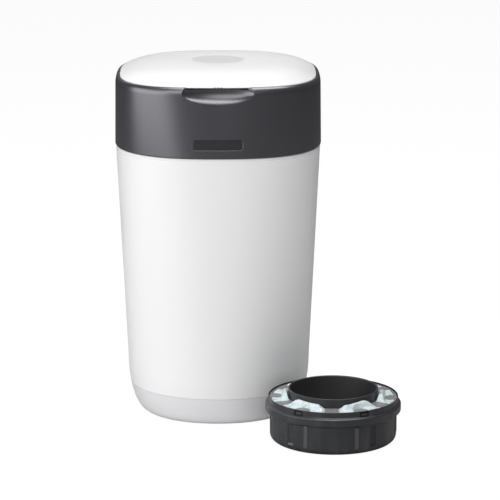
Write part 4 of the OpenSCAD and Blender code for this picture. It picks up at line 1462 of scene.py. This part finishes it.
    def film_height(self, r: np.ndarray, theta: np.ndarray) -> np.ndarray:
        """Height of the film: under the cover's plate, and swelling up where a feed window lets it.

        Args:
            r: radius. theta: polar angle in radians.

        Returns:
            Height of each point before the crumples are added.
        """
        deg, pitch = np.degrees(theta), self.feed_middles.step
        off = np.radians(np.mod(deg, pitch) - self.feed_middles.start)
        x, y = r * np.cos(off), r * np.sin(off)
        tip = self.pad_in + self.pad_tip
        pad = np.where(x > tip, np.abs(y), np.hypot(x - tip, y)) - self.pad_tip
        ends = math.radians(self.feed_half) * r - np.abs(r * off)
        ring = np.minimum(r - self.feed_in + 2.0 * MM, self.feed_out - r)
        edge = np.minimum(np.minimum(ends, pad), ring)
        side = np.where(np.mod(np.floor(deg / pitch), 2) > 0, -1.0, 1.0)
        swell = self.bulge * smooth_step(0.0, 11 * MM, ends) * (0.78 + 0.62 * side * off)
        swell *= 1 - smooth_step(self.pad_in - 3.0 * MM, self.pad_in + 2 * MM, x)
        top = self.cover_z + self.cover_t + 0.3 * MM + swell
        share = np.sqrt(np.clip(edge / (2.6 * MM) + 0.1, 0.0, 1.0))
        return mix(self.cover_z - 1.0 * MM, top, share)

    def film(self) -> bpy.types.Object:
        """Film: a closed ring packed into the cup, with crumples and six tufts through the windows.

        Returns:
            The piece.
        """
        theta = equal_angles(900)
        radius = np.linspace(self.feed_in - 1.4 * MM, self.feed_out - 0.2 * MM, 64)[:, None]
        height = self.film_height(radius, theta[None, :])
        flat = polar(radius, theta, height * 0.6)
        lift = smooth_step(self.cover_z, self.cover_z + 3 * MM, height) * MM
        fold = 1 - 2 * np.abs(value_noise(flat, 70.0, 11))
        fine = 1 - 2 * np.abs(value_noise(flat, 170.0, 23))
        sway = value_noise(flat, 26.0, 5)
        height = height + lift * (0.22 * fold + 0.10 * fine + 1.3 * sway - 0.1)
        height = np.minimum(height, self.sleeve_h - 2 * MM)
        body = beside(0, 0, (74.6, 44.0), (74.8, 30.0), (74.8, 14.0), (71.0, 5.0), (66.0, 2.6), (58.0, 2.6),
                      (56.4, 5.0), (56.2, 20.0), (56.2, 40.0))
        grid = np.concatenate([polar(radius, theta, height), polar(body[:, :1], theta, body[:, 1:])])[::-1]
        return join_grids("film_folds", [(self.place(grid), Wrap.RING)], crease=70)


# ---------------------------------------------------------------- studio
@dataclass(frozen=True)
class Lamp:
    """Soft rectangular lamp: where it hangs, what it is aimed at, its size and its power in watts."""

    name: str
    place: Triple
    target: Triple
    size: tuple[float, float]
    power: float

    def hang(self) -> None:
        """Puts the lamp in the scene, turned to its target."""
        data = bpy.data.lights.new(self.name, "AREA")
        data.shape = "RECTANGLE"
        data.size, data.size_y = self.size
        data.energy = self.power
        lamp = put_in_scene(self.name, data)
        lamp.location = self.place
        lamp.rotation_euler = (Vector(self.target) - Vector(self.place)).to_track_quat("-Z", "Y").to_euler()


@dataclass(frozen=True)
class Studio:
    """Camera, soft lamps, white world and pale floor."""

    distance: float = 3.5
    height: float = 1.01503
    pitch: float = 13.06
    yaw: float = 0.66
    focal_px: float = 2809.8
    world_level: float = 0.12
    floor_half: float = 6.0
    floor_tone: float = 0.9
    floor_in_gloss: float = 0.31
    floor_white: float = 1.06
    floor_keep: float = 0.10
    lamps: tuple[Lamp, ...] = (
        Lamp("key_lamp", (-1.24, -0.70, 0.50), (0, 0, 0.34), (1.85, 0.95), 12.5),
        Lamp("front_lamp", (-0.5, -2.5, 1.5), (0, 0, 0.2), (1.8, 1.2), 16.0),
        Lamp("top_lamp", (0.25, -0.35, 1.88), (0.05, -0.05, 0.3), (1.6, 1.3), 28.5),
        Lamp("back_lamp", (-0.5, 1.8, 1.9), (0, 0, 0.2), (2.4, 1.8), 6.5),
    )

    def build(self) -> None:
        """Sets up the view and the light."""
        self.camera()
        self.world()
        self.floor()
        for lamp in self.lamps:
            lamp.hang()
        bpy.context.scene.view_settings.view_transform = "Standard"

    def camera(self) -> None:
        """Long-lens camera in front of the bin, a metre up and looking slightly down."""
        data = bpy.data.cameras.new("view_camera")
        data.sensor_width = SENSOR_MM
        data.lens = self.focal_px / FRAME_PX * SENSOR_MM
        data.clip_end = 50.0
        eye = put_in_scene("view_camera", data)
        eye.location = (0, -self.distance, self.height)
        eye.rotation_euler = (math.radians(90 - self.pitch), 0, math.radians(-self.yaw))
        bpy.context.scene.camera = eye

    def seen(self, nodes: Nodes) -> Socket:
        """1 for a camera or transmission ray, which sees the surroundings white."""
        path = nodes.add("LightPath").outputs
        return nodes.math("MAXIMUM", path["Is Camera Ray"], path["Is Transmission Ray"])

    def world(self) -> None:
        """White to the camera, and a softer level that lights the object."""
        world = bpy.data.worlds.new("studio_world")
        bpy.context.scene.world = world
        world.use_nodes = True
        world.node_tree.nodes.clear()
        nodes = Nodes(world.node_tree)
        lit = nodes.add("Background", {"Color": (0.99, 0.99, 1.0, 1.0), "Strength": self.world_level})
        white = nodes.add("Background", {"Color": (1, 1, 1, 1), "Strength": 1.0})
        both = nodes.add("MixShader", {0: self.seen(nodes), 1: lit.outputs[0], 2: white.outputs[0]})
        nodes.add("OutputWorld", {"Surface": both.outputs[0]})

    def floor(self) -> None:
        """Pale floor: nearly white to the camera, darker in reflections, and with faint shadows."""
        material = bpy.data.materials.new("pale_floor")
        material.use_nodes = True
        material.node_tree.nodes.clear()
        nodes = Nodes(material.node_tree)
        glossy = nodes.add("LightPath").outputs["Is Glossy Ray"]
        tone = nodes.blend(glossy, (self.floor_tone,) * 3, (self.floor_in_gloss,) * 3)
        plain = nodes.add("BsdfDiffuse", {"Color": tone})
        white = nodes.add("Emission", {"Color": (1, 1, 1, 1), "Strength": self.floor_white})
        share = nodes.math("MULTIPLY", self.seen(nodes), 1 - self.floor_keep)
        both = nodes.add("MixShader", {0: share, 1: plain.outputs[0], 2: white.outputs[0]})
        nodes.add("OutputMaterial", {"Surface": both.outputs[0]})
        ends = np.array([-self.floor_half, self.floor_half])
        grid = np.stack([*np.meshgrid(ends, ends), np.zeros((2, 2))], -1)
        floor = join_grids("studio_floor", [(grid, Wrap.SHEET)])
        floor.data.materials.append(material)


def main() -> None:
    """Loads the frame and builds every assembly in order."""
    logging.basicConfig(level=logging.INFO, format="%(message)s")
    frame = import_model()
    finishes = Finishes()
    Studio().build()
    for assembly in (Tub(finishes), Head(finishes), Lid(finishes), Cassette(finishes)):
        assembly.build(frame)


if __name__ == "__main__":
    main()
